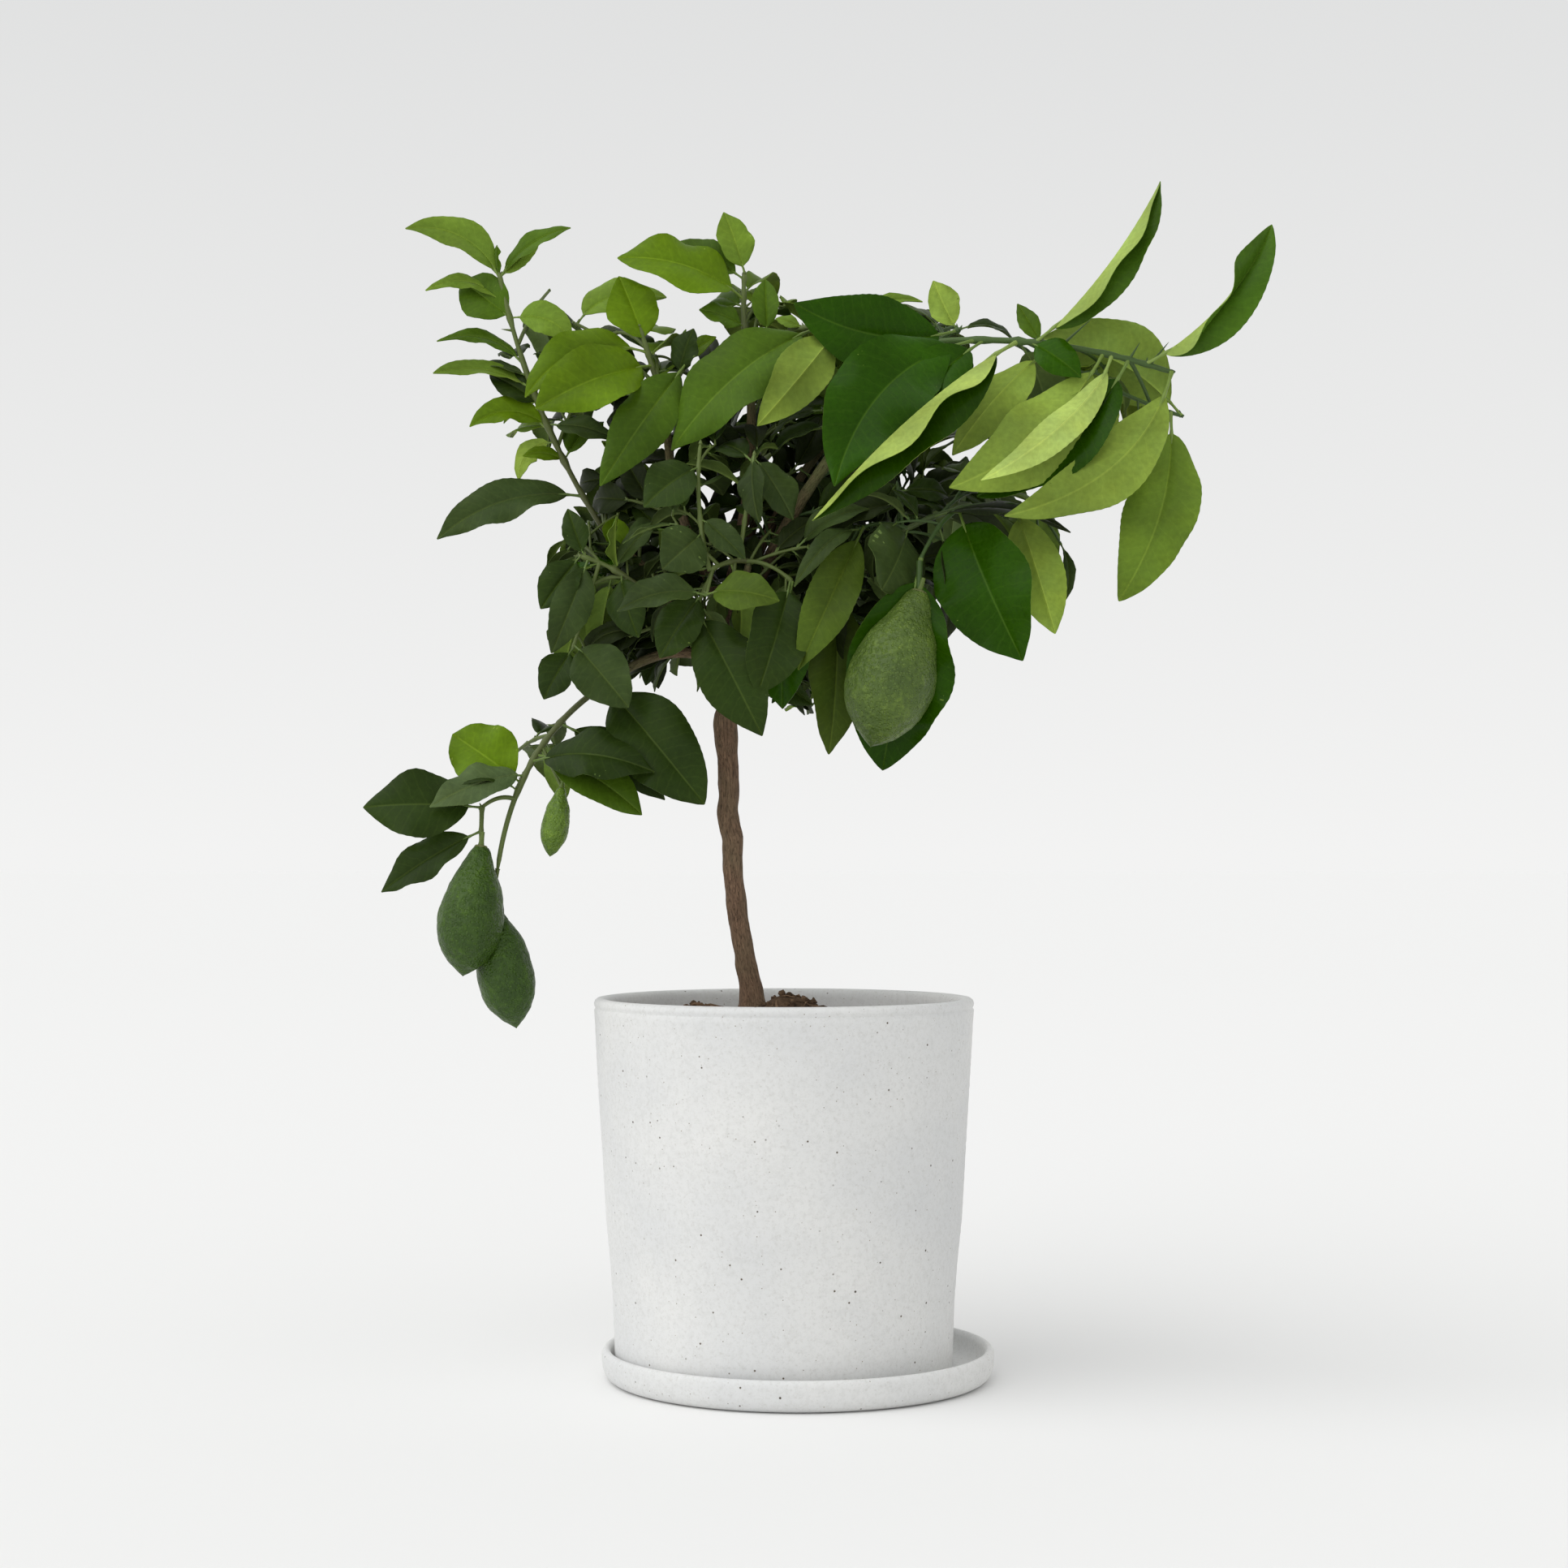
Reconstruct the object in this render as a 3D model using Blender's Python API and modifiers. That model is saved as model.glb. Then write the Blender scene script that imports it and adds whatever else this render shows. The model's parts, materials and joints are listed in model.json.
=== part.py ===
"""A young lemon tree in a stoneware pot that stands on a saucer.

Sizes are in millimetres until MM turns them into metres. X runs right, Y away from the side that the
tree shows, Z up. The origin is on the pot's axis, on the surface that the saucer stands on.
"""
import math
import random
from collections import namedtuple

import bmesh
import bpy
from mathutils import Matrix, Vector
from mathutils.bvhtree import BVHTree

MM = 0.001
UP = Vector((0, 0, 1))
FRONT = Vector((0, -1, 0))
GOLDEN_ANGLE = math.radians(137.5)

# Clearances
GAP = 0.3
BARK_ALLOWANCE = 0.15
LEAF_CLEARANCE = 0.5

# Saucer
SAUCER_CENTRE = (7.5, 4.0)
SAUCER_RADIUS = 103.6
SAUCER_WALL = 4.9
SAUCER_HEIGHT = 16.8
SAUCER_FLOOR = 5.2

# Pot, as its outer radius at each height above the surface
POT_FOOT_Z = SAUCER_FLOOR + GAP
POT_TOP_Z = 201.0
POT_SIDE = ((8.5, 88.8), (42, 89.9), (64, 91.5), (85, 93.6), (149, 97.3), (192, 99.7))
POT_RIM_RADIUS = 100.0
POT_WALL = 8.0
POT_FLOOR_Z = 20.0
TURNED_STEPS = 44

# Soil
SOIL_Z = 190.5
SOIL_RINGS = (12, 24, 38, 54, 72)
SOIL_STEPS = 32
SOIL_HEAPS = ((2, -4, 17, 11.5), (-46, -30, 20, 7.5), (30, 34, 34, 4.0), (-40, 40, 30, 3.0))
SOIL_SEAT = 6.0

# Trunk, as its centre line and radius from the flat cut at the soil up to the fork
TRUNK_FOOT_Z = 196.0
TRUNK = (
    (-16.8, 0, TRUNK_FOOT_Z, 8.0),
    (-17.0, 0, 199, 7.0),
    (-17.6, 0, 206, 6.2),
    (-20.6, 0, 222, 5.6),
    (-23.8, 0, 241, 5.3),
    (-26.8, 0, 268, 5.3),
    (-27.1, 0, 284, 5.7),
    (-29.7, 0, 297, 5.7),
    (-29.0, 0, 312, 5.4),
    (-30.0, 0, 330, 5.8),
    (-30.8, 0, 343, 6.6),
    (-30.8, 0, 349, 6.3),
    (-30.2, 1, 356, 4.9),
    (-28.5, 3, 378, 4.6),
    (-27.2, 5, 402, 4.3),
    (-26.5, 6, 426, 3.8),
)
TRUNK_FLARE = 0.16
TRUNK_FLARE_HEIGHT = 10.0
TRUNK_ROOTS = 5

# Boughs: the height where each leaves the trunk, how far it reaches, its bow, and its two radii.
# A bough with no height stands on the trunk's tip.
Bough = namedtuple("Bough", "height reach bow thick thin")
BOUGHS = {
    "bough_top": Bough(None, (7, 2, 116), (5, 2, 0), 3.3, 2.2),
    "bough_upper_left": Bough(411, (-28, -4, 96), (-7, -3, 0), 3.0, 2.1),
    "bough_left_high": Bough(401, (-62, 9, 47), (0, 0, -4), 3.0, 2.2),
    "bough_left_mid": Bough(389, (-36, -17, 22), (0, -2, 3), 2.6, 2.0),
    "bough_left_low": Bough(379, (-58, -6, -12), (0, 0, 9), 3.2, 2.4),
    "bough_front": Bough(398, (8, -30, 28), (0, -3, -4), 2.6, 2.0),
    "bough_right_top": Bough(419, (82, 9, 116), (-8, 4, 6), 2.9, 2.1),
    "bough_right_long": Bough(404, (101, -28, 137), (-8, -4, 8), 3.6, 2.6),
    "bough_right_low": Bough(384, (84, -24, 60), (0, 2, -7), 3.0, 2.2),
    "bough_back_left": Bough(386, (-48, 62, 36), (0, 0, 8), 2.9, 2.1),
    "bough_back_right": Bough(394, (78, 60, 62), (0, 4, -6), 2.9, 2.1),
    "bough_back_top": Bough(408, (26, 44, 92), (-4, 6, 0), 2.8, 2.0),
    "bough_back_low": Bough(368, (40, 56, 14), (0, 0, 7), 2.5, 1.9),
}
LIMB_STATIONS = 6
ROOT_RING_STEPS = 12
SEATING_ROUNDS = 3
SHOOT_STATIONS = 4
SHOOT_TAPER = 0.75
TWIG_THICK = 1.1

# A leaf: its place along the shoot, how far its tip lies right, back and up from there, the lean of its
# upper side from the sky (0) through the front (90) to face down (180), the arch of its midrib as a share
# of the length, its width as a share of the length, its twist from end to end and its sideways bend.
Leaf = namedtuple("Leaf", "at reach lean arch wide twist sway", defaults=(0.10, 0.42, 0, 0))

# A shoot: the shoot it grows from (None for the mass's stem, which meets its bough), its place along
# that, its reach and bow, its radius, the leaves placed by eye and the number placed by the rule.
Shoot = namedtuple("Shoot", "parent at reach bow thick leaves fill", defaults=((), 0))

# A fruit: the shoot at whose tip it hangs, the way and length of its axis, and its width.
Fruit = namedtuple("Fruit", "shoot axis wide")

# A mass: its bough, its space as a centre and three half sizes, the length of its rule's leaves, how many
# twigs the rule adds to its stem, its shoots and its fruit.
Mass = namedtuple("Mass", "bough centre space leaf_length twigs shoots fruit", defaults=((),))
MASSES = {
    "foliage_left_high": Mass("bough_left_high", (-122, 40, 525), (32, 46, 62), 46, 2, (
        Shoot(None, 0, (-55, -5, 134), (-6, 0, -3), 1.5, (
            Leaf(0.14, (-77, -16, -24), 62, 0.08, 0.31, 30, 0.09),
            Leaf(0.29, (-22, -6, 2), 60, 0.05, 0.42, 0, 0.12),
            Leaf(0.37, (-20, 4, -20), 70, 0.05, 0.50, 0, 0.25),
            Leaf(0.42, (-42, -8, 0), 60, 0.08, 0.42, 0, 0.20),
            Leaf(0.43, (36, -6, -8), 50, 0.12, 0.42),
            Leaf(0.51, (-28, 8, 18), 60, 0.10, 0.50),
            Leaf(0.57, (-53, -8, 8), 44, 0.05, 0.25, 50, 0.14),
            Leaf(0.63, (-31, 10, 8), 30, 0.05, 0.28),
            Leaf(0.67, (-46, -4, 12), 50, 0.06, 0.23, 0, 0.20),
            Leaf(0.84, (32, -8, -12), 70, 0.08, 0.55, 0, -0.16),
            Leaf(0.88, (-43, -10, 8), 50, 0.08, 0.25, 30, 0.24),
            Leaf(0.84, (-28, 6, 22), 75, 0.08, 0.75),
            Leaf(0.98, (-50, -8, 27), 60, 0.06, 0.40, 0, 0.20),
            Leaf(1.00, (38, -6, 25), 60, 0.06, 0.28, 0, -0.10),
            Leaf(1.00, (-2, 4, 18), 80, 0.05, 0.60),
            Leaf(1.00, (20, 10, 22), 80, 0.05, 0.30),
        ), 6),
    )),
    "foliage_upper_left": Mass("bough_upper_left", (-76, 46, 525), (40, 46, 46), 52, 2, (
        Shoot(None, 0, (-14, -6, 46), (0, 0, 0), 1.5, (
            Leaf(0.78, (-14, -2, 36), 80, 0.05, 0.75),
            Leaf(0.70, (-63, -16, -26), 56, 0.12, 0.38, 0, 0.14),
            Leaf(0.55, (-58, -36, -28), 62, 0.12, 0.52),
        ), 3),
        Shoot(0, 0.30, (-46, 18, 38), (0, 0, 4), 1.1, (
            Leaf(0.98, (48, 10, 16), 50, 0.08, 0.52, 0, -0.16),
        ), 2),
        Shoot(0, 0.25, (15, -4, 16), (2, 0, 0), 1.1, (
            Leaf(0.60, (8, -4, 24), 80, 0.05, 0.75),
            Leaf(1.00, (-45, -20, -68), 70, 0.10, 0.36),
        )),
    )),
    "foliage_top": Mass("bough_top", (-14, 46, 550), (42, 46, 36), 46, 2, (
        Shoot(None, 0, (-1.5, 0, 41), (-1, 0, 0), 1.5, (
            Leaf(0.30, (-24, -8, 8), 60, 0.10, 0.60),
            Leaf(0.68, (-66, -16, 18), 58, 0.12, 0.52, 0, 0.02),
            Leaf(0.94, (-41, 12, 19), 60, 0.08, 0.46),
            Leaf(1.00, (-11, -2, 32), 80, 0.06, 0.60),
        ), 4),
        Shoot(0, 0.12, (11, -5, 3), (0, 0, 0), 1.0, (
            Leaf(1.00, (-1, 5, 30), 15, 0.08, 0.50),
        )),
        Shoot(0, 0.04, (48, -20, 7), (0, 0, 4), 1.3, (
            Leaf(0.62, (-14, 4, 6), 60, 0.10, 0.50),
            Leaf(0.80, (-77, -12, -66), 62, 0.16, 0.42),
            Leaf(1.00, (-42, -30, -56), 74, 0.12, 0.38),
        ), 3),
    )),
    "foliage_right_top": Mass("bough_right_top", (62, 46, 545), (52, 46, 28), 48, 2, (
        Shoot(None, 0, (30, -20, 17), (0, 0, 2), 1.5, (
            Leaf(0.95, (-86, -24, 10), 84, 0.04, 0.48, 0, -0.12),
            Leaf(0.95, (-12, 8, 28), 80, 0.05, 0.58),
            Leaf(1.00, (30, 8, -6), 30, 0.18, 0.40),
        ), 4),
        Shoot(0, 0.10, (-24, 6, 25), (0, 0, 0), 1.1, (
            Leaf(1.00, (33, 5, 10), 50, 0.06, 0.28, 0, -0.16),
        ), 3),
    )),
    "foliage_right_long": Mass("bough_right_long", (140, 18, 505), (68, 50, 42), 58, 3, (
        Shoot(None, 0, (118, -6, -17), (0, 0, 6), 1.8, (
            Leaf(0.13, (-72, -24, -80), 60, 0.08, 0.44, 0, 0.12),
            Leaf(0.17, (-60, -20, -60), 62, 0.10, 0.42),
            Leaf(0.32, (-106, -44, -98), 58, 0.10, 0.28),
            Leaf(0.38, (25, -12, -20), 60, 0.10, 0.60),
            Leaf(0.43, (-12, 6, 22), 70, 0.06, 0.42),
            Leaf(0.41, (62, -12, 81), 50, 0.04, 0.30, 50, 0.13),
            Leaf(0.68, (-79, -26, -73), 66, 0.04, 0.38, 0, -0.12),
            Leaf(0.75, (-72, -40, -69), 50, 0.04, 0.19, 0, -0.09),
            Leaf(0.80, (-78, -12, -72), 64, 0.04, 0.32, 0, -0.12),
            Leaf(0.88, (64, -10, 70), 60, 0.04, 0.32, 50, 0.15),
            Leaf(1.00, (-88, -24, -77), 66, 0.04, 0.28, 0, -0.16),
        ), 4),
        Shoot(0, 0.38, (80, 12, -36), (0, 0, -3), 1.3, (
            Leaf(0.10, (-48, -2, -54), 62, 0.08, 0.42),
            Leaf(0.93, (-29, -16, -100), 60, 0.04, 0.36, 0, -0.08),
            Leaf(1.00, (-72, 16, 43), -60, 0.10, 0.54, 0, -0.07),
        ), 3),
    )),
    "foliage_right_low": Mass("bough_right_low", (88, 16, 432), (60, 50, 42), 54, 2, (
        Shoot(None, 0, (58, -6, 12), (0, 0, 5), 1.6, (
            Leaf(0.02, (-14, -16, -34), 72, 0.06, 0.95),
            Leaf(0.25, (71, -14, -9), 20, 0.12, 0.32),
            Leaf(0.50, (31, -26, -80), 74, 0.08, 0.60),
            Leaf(0.98, (20, -10, -67), 66, 0.10, 0.42),
        ), 4),
        Shoot(0, 0.48, (-20, -16, -28), (0, 0, 4), 1.3, (
            Leaf(0.40, (2, 14, -60), 120, 0.10, 0.36),
            Leaf(0.96, (-19, 16, -108), 125, 0.08, 0.52),
        )),
        Shoot(1, 1.00, (-0.5, -3, -18), (0, 0, 0), 1.7),
        Shoot(0, 0.03, (-26, -6, -1), (0, 0, 3), 1.2, (
            Leaf(0.88, (-34, -20, -75), 62, 0.10, 0.32),
            Leaf(1.00, (-33, -26, -32), 40, 0.20, 0.24),
        ), 1),
        Shoot(3, 1.00, (-12, 10, -24), (0, 0, 0), 1.0, (
            Leaf(1.00, (-3, -2, -92), 20, 0.08, 0.34),
            Leaf(0.90, (-8, 10, -66), 110, 0.08, 0.45),
        )),
        Shoot(0, 1.00, (23, 5, -19), (0, 0, 6), 0.9, (
            Leaf(1.00, (2, 0, -30), 60, 0.20, 0.25),
        )),
    ), (Fruit(2, (-25, -6, -79), 45),)),
    "foliage_front": Mass("bough_front", (-30, -16, 430), (56, 42, 62), 48, 2, (
        Shoot(None, 0, (-20, -12, -6), (0, 0, 2), 1.5, (), 2),
        Shoot(0, 0.90, (-9, 6, -20), (0, 0, 0), 1.1, (
            Leaf(1.00, (34, -14, -66), 66, 0.08, 0.48),
            Leaf(0.60, (-22, -6, -34), 64, 0.08, 0.60),
        ), 2),
        Shoot(0, 0.08, (24, -4, -11), (0, 0, 3), 1.2, (
            Leaf(0.95, (-17, -14, -60), 66, 0.08, 0.55),
            Leaf(1.00, (-5, 6, -65), 118, 0.08, 0.50),
        ), 2),
        Shoot(0, 0.25, (8, -6, 54), (0, 0, 0), 1.2, (
            Leaf(1.00, (3, -8, -36), 66, 0.08, 0.50),
            Leaf(0.98, (20, 4, -32), 66, 0.06, 0.62),
        ), 3),
        Shoot(0, 1.00, (-5, 8, 66), (-3, 0, 0), 1.3, (
            Leaf(0.30, (-20, -14, -20), 70, 0.06, 0.90),
            Leaf(0.42, (23, -8, -22), 66, 0.08, 0.46),
            Leaf(0.82, (-28, -10, -22), 60, 0.12, 0.75),
        ), 3),
        Shoot(0, 0.92, (-3, -7, -14), (0, 0, 0), 1.0, (
            Leaf(0.95, (37, -14, -5), 55, 0.12, 0.62),
            Leaf(1.00, (-45, -8, -9), 50, 0.16, 0.48),
        )),
    )),
    "foliage_left_mid": Mass("bough_left_mid", (-94, 24, 408), (36, 46, 50), 44, 2, (
        Shoot(None, 0, (-36, -4, 20), (0, 0, 3), 1.4, (
            Leaf(0.45, (10, -12, -34), 68, 0.08, 0.62),
            Leaf(0.50, (0, -8, 28), 80, 0.05, 0.60),
            Leaf(0.55, (22, 6, 26), 50, 0.08, 0.36),
            Leaf(0.90, (-18, -14, -50), 68, 0.08, 0.40),
            Leaf(0.95, (-9, 6, 26), 60, 0.08, 0.50),
            Leaf(1.00, (-20, -8, -28), 66, 0.08, 0.60),
        ), 4),
        Shoot(0, 0.75, (-14, 4, -44), (0, 0, 0), 1.1, (
            Leaf(0.95, (29, -14, -34), 64, 0.08, 0.66),
            Leaf(1.00, (-15, -4, -27), 64, 0.08, 0.66),
        ), 2),
    )),
    "foliage_left_low": Mass("bough_left_low", (-110, 20, 332), (46, 46, 32), 50, 2, (
        Shoot(None, 0, (-57, -12, -98), (-10, 0, 9), 1.7, (
            Leaf(0.02, (53, -22, -63), 66, 0.08, 0.50),
            Leaf(0.28, (54, 8, -40), 60, 0.08, 0.40),
            Leaf(0.45, (54, -10, -32), 50, 0.12, 0.46),
            Leaf(0.50, (64, -20, -5), 55, 0.18, 0.46),
            Leaf(0.55, (-49, -20, -18), 48, 0.10, 0.42),
            Leaf(0.60, (-38, 12, 26), 72, 0.06, 0.78),
            Leaf(0.64, (-36, -12, 0), 40, 0.22, 0.22),
        ), 3),
        Shoot(0, 0.68, (-18, -4, -5), (0, 0, 3), 1.3, (
            Leaf(0.95, (-61, -6, 0), 70, 0.08, 0.62),
        )),
        Shoot(1, 0.95, (0, -6, -22), (0, 0, 0), 1.3, (
            Leaf(0.55, (-53, 8, -32), 66, 0.06, 0.38),
        )),
        Shoot(0, 1.00, (-4, 4, -20), (0, 0, 0), 1.2),
        Shoot(0, 0.42, (11, -8, -22), (0, 0, 0), 1.0),
    ), (
        Fruit(2, (-9, -3, -67), 34),
        Fruit(3, (13, 2, -65), 30),
        Fruit(4, (-6, -2, -36), 14.4),
    )),
    "foliage_back_left": Mass("bough_back_left", (-78, 88, 440), (52, 66, 68), 54, 7, (
        Shoot(None, 0, (-22, 30, 34), (0, 4, 4), 1.6, (), 8),
    )),
    "foliage_back_right": Mass("bough_back_right", (80, 92, 468), (64, 66, 58), 58, 8, (
        Shoot(None, 0, (34, 26, 20), (0, 4, 6), 1.6, (), 8),
    )),
    "foliage_back_top": Mass("bough_back_top", (4, 82, 512), (62, 64, 50), 56, 8, (
        Shoot(None, 0, (6, 24, 34), (0, 4, 0), 1.6, (), 8),
    )),
    "foliage_back_low": Mass("bough_back_low", (20, 88, 402), (62, 64, 50), 56, 8, (
        Shoot(None, 0, (18, 28, -8), (0, 4, 4), 1.6, (), 8),
    )),
}

# The rule for what isn't placed by eye. A mass whose centre is nearer than FRONT_DEPTH is filled from behind.
SEED = 41
FRONT_DEPTH = 60
BACKWARD = 0.6
TWIG_SHARE = 0.62
TWIG_REACH = (26.0, 52.0)
TWIG_VARIES = (0.8, 1.1)
TWIG_BOW = (0, 0, 3)
TWIG_LEAVES = 4
TWIGS_ALONG = (0.15, 0.95)
LEAVES_ALONG = (0.2, 1.0)
LEAF_LATE = 0.7
LEAF_VARIES = (0.8, 1.15)
LEAF_LEAN = (-25, 40)
LEAF_ARCH = (0.06, 0.2)
LEAF_WIDE = (0.40, 0.50)
LEAF_TWIST = (-20, 20)
TWIG_SPREAD = math.radians(52)
LEAF_SPREAD = math.radians(58)
DROOP = 0.35
TURNS = (0, 35, -35, 70, -70, 110, -110)

# How far back or forward the tip of a leaf placed by eye is tried until it is clear
DEPTH_STEPS = (0, -14, 14, -28, 28, -42, 42)

# Leaf shape
STALK_SHARE = 0.11
STALK_HALF = 0.5
LEAF_STATIONS = (0.25, 0.62)
LEAF_BROADEST = 0.80
LEAF_THICKNESS = 0.016
THINNEST_LEAF = 1.0
FLAT_ANGLE = 0.002

# Lemon shape: the share of its length from the stalk, and its radius as a share of half its width
LEMON_PROFILE = (
    (0.0, 0.22), (0.05, 0.34), (0.15, 0.50), (0.32, 0.82), (0.55, 1.0),
    (0.75, 0.90), (0.89, 0.55), (0.96, 0.24), (1.0, 0.0),
)
LEMON_STEPS = 10
STALK_IN_LEMON = 1.5
LEMON_CORE = 0.42

COLOURS = {
    "stoneware": ((0.70, 0.70, 0.68, 1), 0.75),
    "soil": ((0.10, 0.06, 0.04, 1), 0.95),
    "bark": ((0.10, 0.065, 0.04, 1), 0.85),
    "leaf": ((0.06, 0.14, 0.02, 1), 0.45),
}


def material(kind):
    """The Principled material of a kind, made once."""
    made = bpy.data.materials.get(kind)
    if made is None:
        made = bpy.data.materials.new(kind)
        made.use_nodes = True
        shader = made.node_tree.nodes["Principled BSDF"]
        colour, roughness = COLOURS[kind]
        shader.inputs["Base Color"].default_value = colour
        shader.inputs["Roughness"].default_value = roughness
        shader.inputs["Metallic"].default_value = 0.0
    return made


def new_object(name, mesh, collection, kind):
    """An object with its material, in a collection."""
    made = bpy.data.objects.new(name, mesh)
    made.data.materials.append(material(kind))
    collection.objects.link(made)
    return made


def mesh_from(name, points, faces):
    """A mesh in metres from points in millimetres."""
    mesh = bpy.data.meshes.new(name)
    mesh.from_pydata([tuple(Vector(p) * MM) for p in points], [], faces)
    mesh.validate()
    return mesh


def apply_modifiers(made):
    """Swaps an object's mesh for what its modifiers make of it."""
    depsgraph = bpy.context.evaluated_depsgraph_get()
    mesh = bpy.data.meshes.new_from_object(made.evaluated_get(depsgraph))
    made.modifiers.clear()
    made.data = mesh


def turned(name, profile, steps, collection, kind, closed):
    """A turned solid: its profile, as radius and height down the outer side, swept about Z."""
    mesh = bpy.data.meshes.new(name)
    edges = [(i, i + 1) for i in range(len(profile) - 1)]
    if closed:
        edges.append((len(profile) - 1, 0))
    mesh.from_pydata([(radius * MM, 0, z * MM) for radius, z in profile], edges, [])
    made = new_object(name, mesh, collection, kind)
    screw = made.modifiers.new("turn", "SCREW")
    screw.steps = steps
    screw.render_steps = steps
    screw.use_merge_vertices = True
    screw.merge_threshold = 0.00001
    return made


def saucer(parts):
    """The saucer: a shallow dish with a rounded rim."""
    inner = SAUCER_RADIUS - SAUCER_WALL
    rim_mid = SAUCER_RADIUS - SAUCER_WALL / 2
    profile = (
        (rim_mid, SAUCER_HEIGHT),
        (SAUCER_RADIUS - 0.9, SAUCER_HEIGHT - 0.8),
        (SAUCER_RADIUS - 0.1, SAUCER_HEIGHT - 3.0),
        (SAUCER_RADIUS, SAUCER_HEIGHT - 7.0),
        (SAUCER_RADIUS - 2.4, 2.2),
        (SAUCER_RADIUS - 6.2, 0.0),
        (0.0, 0.0),
        (0.0, SAUCER_FLOOR),
        (inner - 2.4, SAUCER_FLOOR),
        (inner - 0.6, SAUCER_FLOOR + 1.6),
        (inner + 0.2, SAUCER_HEIGHT - 2.4),
        (inner + 0.9, SAUCER_HEIGHT - 0.7),
    )
    made = turned("saucer", profile, TURNED_STEPS, parts, "stoneware", True)
    made.location = (SAUCER_CENTRE[0] * MM, SAUCER_CENTRE[1] * MM, 0)


def pot_radius(height):
    """The pot's outer radius at a height, read along its side."""
    side = POT_SIDE + ((POT_TOP_Z, POT_RIM_RADIUS),)
    for (low, r_low), (high, r_high) in zip(side, side[1:]):
        if height <= high:
            return r_low + (r_high - r_low) * (height - low) / (high - low)
    return POT_RIM_RADIUS


def pot(parts):
    """The pot: a tapered wall with a soft rim and a flat foot."""
    rim_mid = POT_RIM_RADIUS - POT_WALL / 2
    outer = [(radius, z) for z, radius in reversed(POT_SIDE)]
    profile = [
        (rim_mid, POT_TOP_Z),
        (POT_RIM_RADIUS - 1.5, POT_TOP_Z - 0.5),
        (POT_RIM_RADIUS - 0.2, POT_TOP_Z - 2.4),
        (POT_RIM_RADIUS - 0.1, POT_TOP_Z - 6.0),
        *outer,
        (87.0, POT_FOOT_Z),
        (0.0, POT_FOOT_Z),
        (0.0, POT_FLOOR_Z),
        (pot_radius(POT_FLOOR_Z) - POT_WALL - 3.0, POT_FLOOR_Z),
        (pot_radius(POT_FLOOR_Z) - POT_WALL, POT_FLOOR_Z + 3.0),
        (pot_radius(110) - POT_WALL, 110.0),
        (POT_RIM_RADIUS - POT_WALL, POT_TOP_Z - 2.0),
        (POT_RIM_RADIUS - POT_WALL + 1.2, POT_TOP_Z - 0.5),
    ]
    turned("pot", profile, TURNED_STEPS, parts, "stoneware", True)


def soil_height(x, y):
    """The soil's height: level, with a few soft heaps."""
    height = SOIL_Z
    for heap_x, heap_y, spread, rise in SOIL_HEAPS:
        away = math.hypot(x - heap_x, y - heap_y) / spread
        height += rise * math.exp(-away * away)
    return height + 0.5 * math.sin(x * 0.31 + 1) * math.cos(y * 0.27)


def soil(parts, cutters):
    """The soil that fills the pot, with a seat cut for the trunk's foot."""
    floor_radius = pot_radius(POT_FLOOR_Z) - POT_WALL - 3.0 - GAP
    edge_radius = pot_radius(SOIL_Z) - POT_WALL - GAP - 0.4
    middle_radius = pot_radius(110) - POT_WALL - GAP - 0.2
    rings = [(radius, None) for radius in SOIL_RINGS]
    rings += [(edge_radius, None), (middle_radius, 110.0), (floor_radius, POT_FLOOR_Z + GAP)]
    points = [(0, 0, soil_height(0, 0))]
    for radius, height in rings:
        for step in range(SOIL_STEPS):
            angle = 2 * math.pi * step / SOIL_STEPS
            x, y = radius * math.cos(angle), radius * math.sin(angle)
            points.append((x, y, soil_height(x, y) if height is None else height))
    points.append((0, 0, POT_FLOOR_Z + GAP))
    faces = []
    for step in range(SOIL_STEPS):
        after = (step + 1) % SOIL_STEPS
        faces.append((0, 1 + step, 1 + after))
        for ring in range(len(rings) - 1):
            inner, outer = 1 + ring * SOIL_STEPS, 1 + (ring + 1) * SOIL_STEPS
            faces.append((inner + step, outer + step, outer + after, inner + after))
        last = 1 + (len(rings) - 1) * SOIL_STEPS
        faces.append((last + step, len(points) - 1, last + after))
    made = new_object("soil", mesh_from("soil", points, faces), parts, "soil")
    seat_radius = TRUNK[0][3] * (1 + TRUNK_FLARE) + GAP
    seat_low = TRUNK_FOOT_Z - GAP
    bpy.ops.mesh.primitive_cylinder_add(
        vertices=20,
        radius=seat_radius * MM,
        depth=3 * SOIL_SEAT * MM,
        location=(TRUNK[0][0] * MM, TRUNK[0][1] * MM, (seat_low + 1.5 * SOIL_SEAT) * MM),
    )
    cutter = bpy.context.object
    cutter.name = "trunk_seat_cutter"
    for holder in list(cutter.users_collection):
        holder.objects.unlink(cutter)
    cutters.objects.link(cutter)
    cutter.hide_render = True
    cutter.display_type = "WIRE"
    cut = made.modifiers.new("trunk seat", "BOOLEAN")
    cut.operation = "DIFFERENCE"
    cut.object = cutter


def bowed(start, reach, bow, stations):
    """Points from start along reach, standing off it by bow in the middle."""
    shares = [i / (stations - 1) for i in range(stations)]
    return [start + reach * t + bow * (4 * t * (1 - t)) for t in shares]


def path_length(path):
    """The length along a path."""
    return sum((b - a).length for a, b in zip(path, path[1:]))


def along_path(path, share):
    """The point and direction at a share of a path's length."""
    left = share * path_length(path)
    for a, b in zip(path, path[1:]):
        length = (b - a).length
        if left <= length:
            return a.lerp(b, left / length), (b - a).normalized()
        left -= length
    return path[-1].copy(), (path[-1] - path[-2]).normalized()


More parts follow.
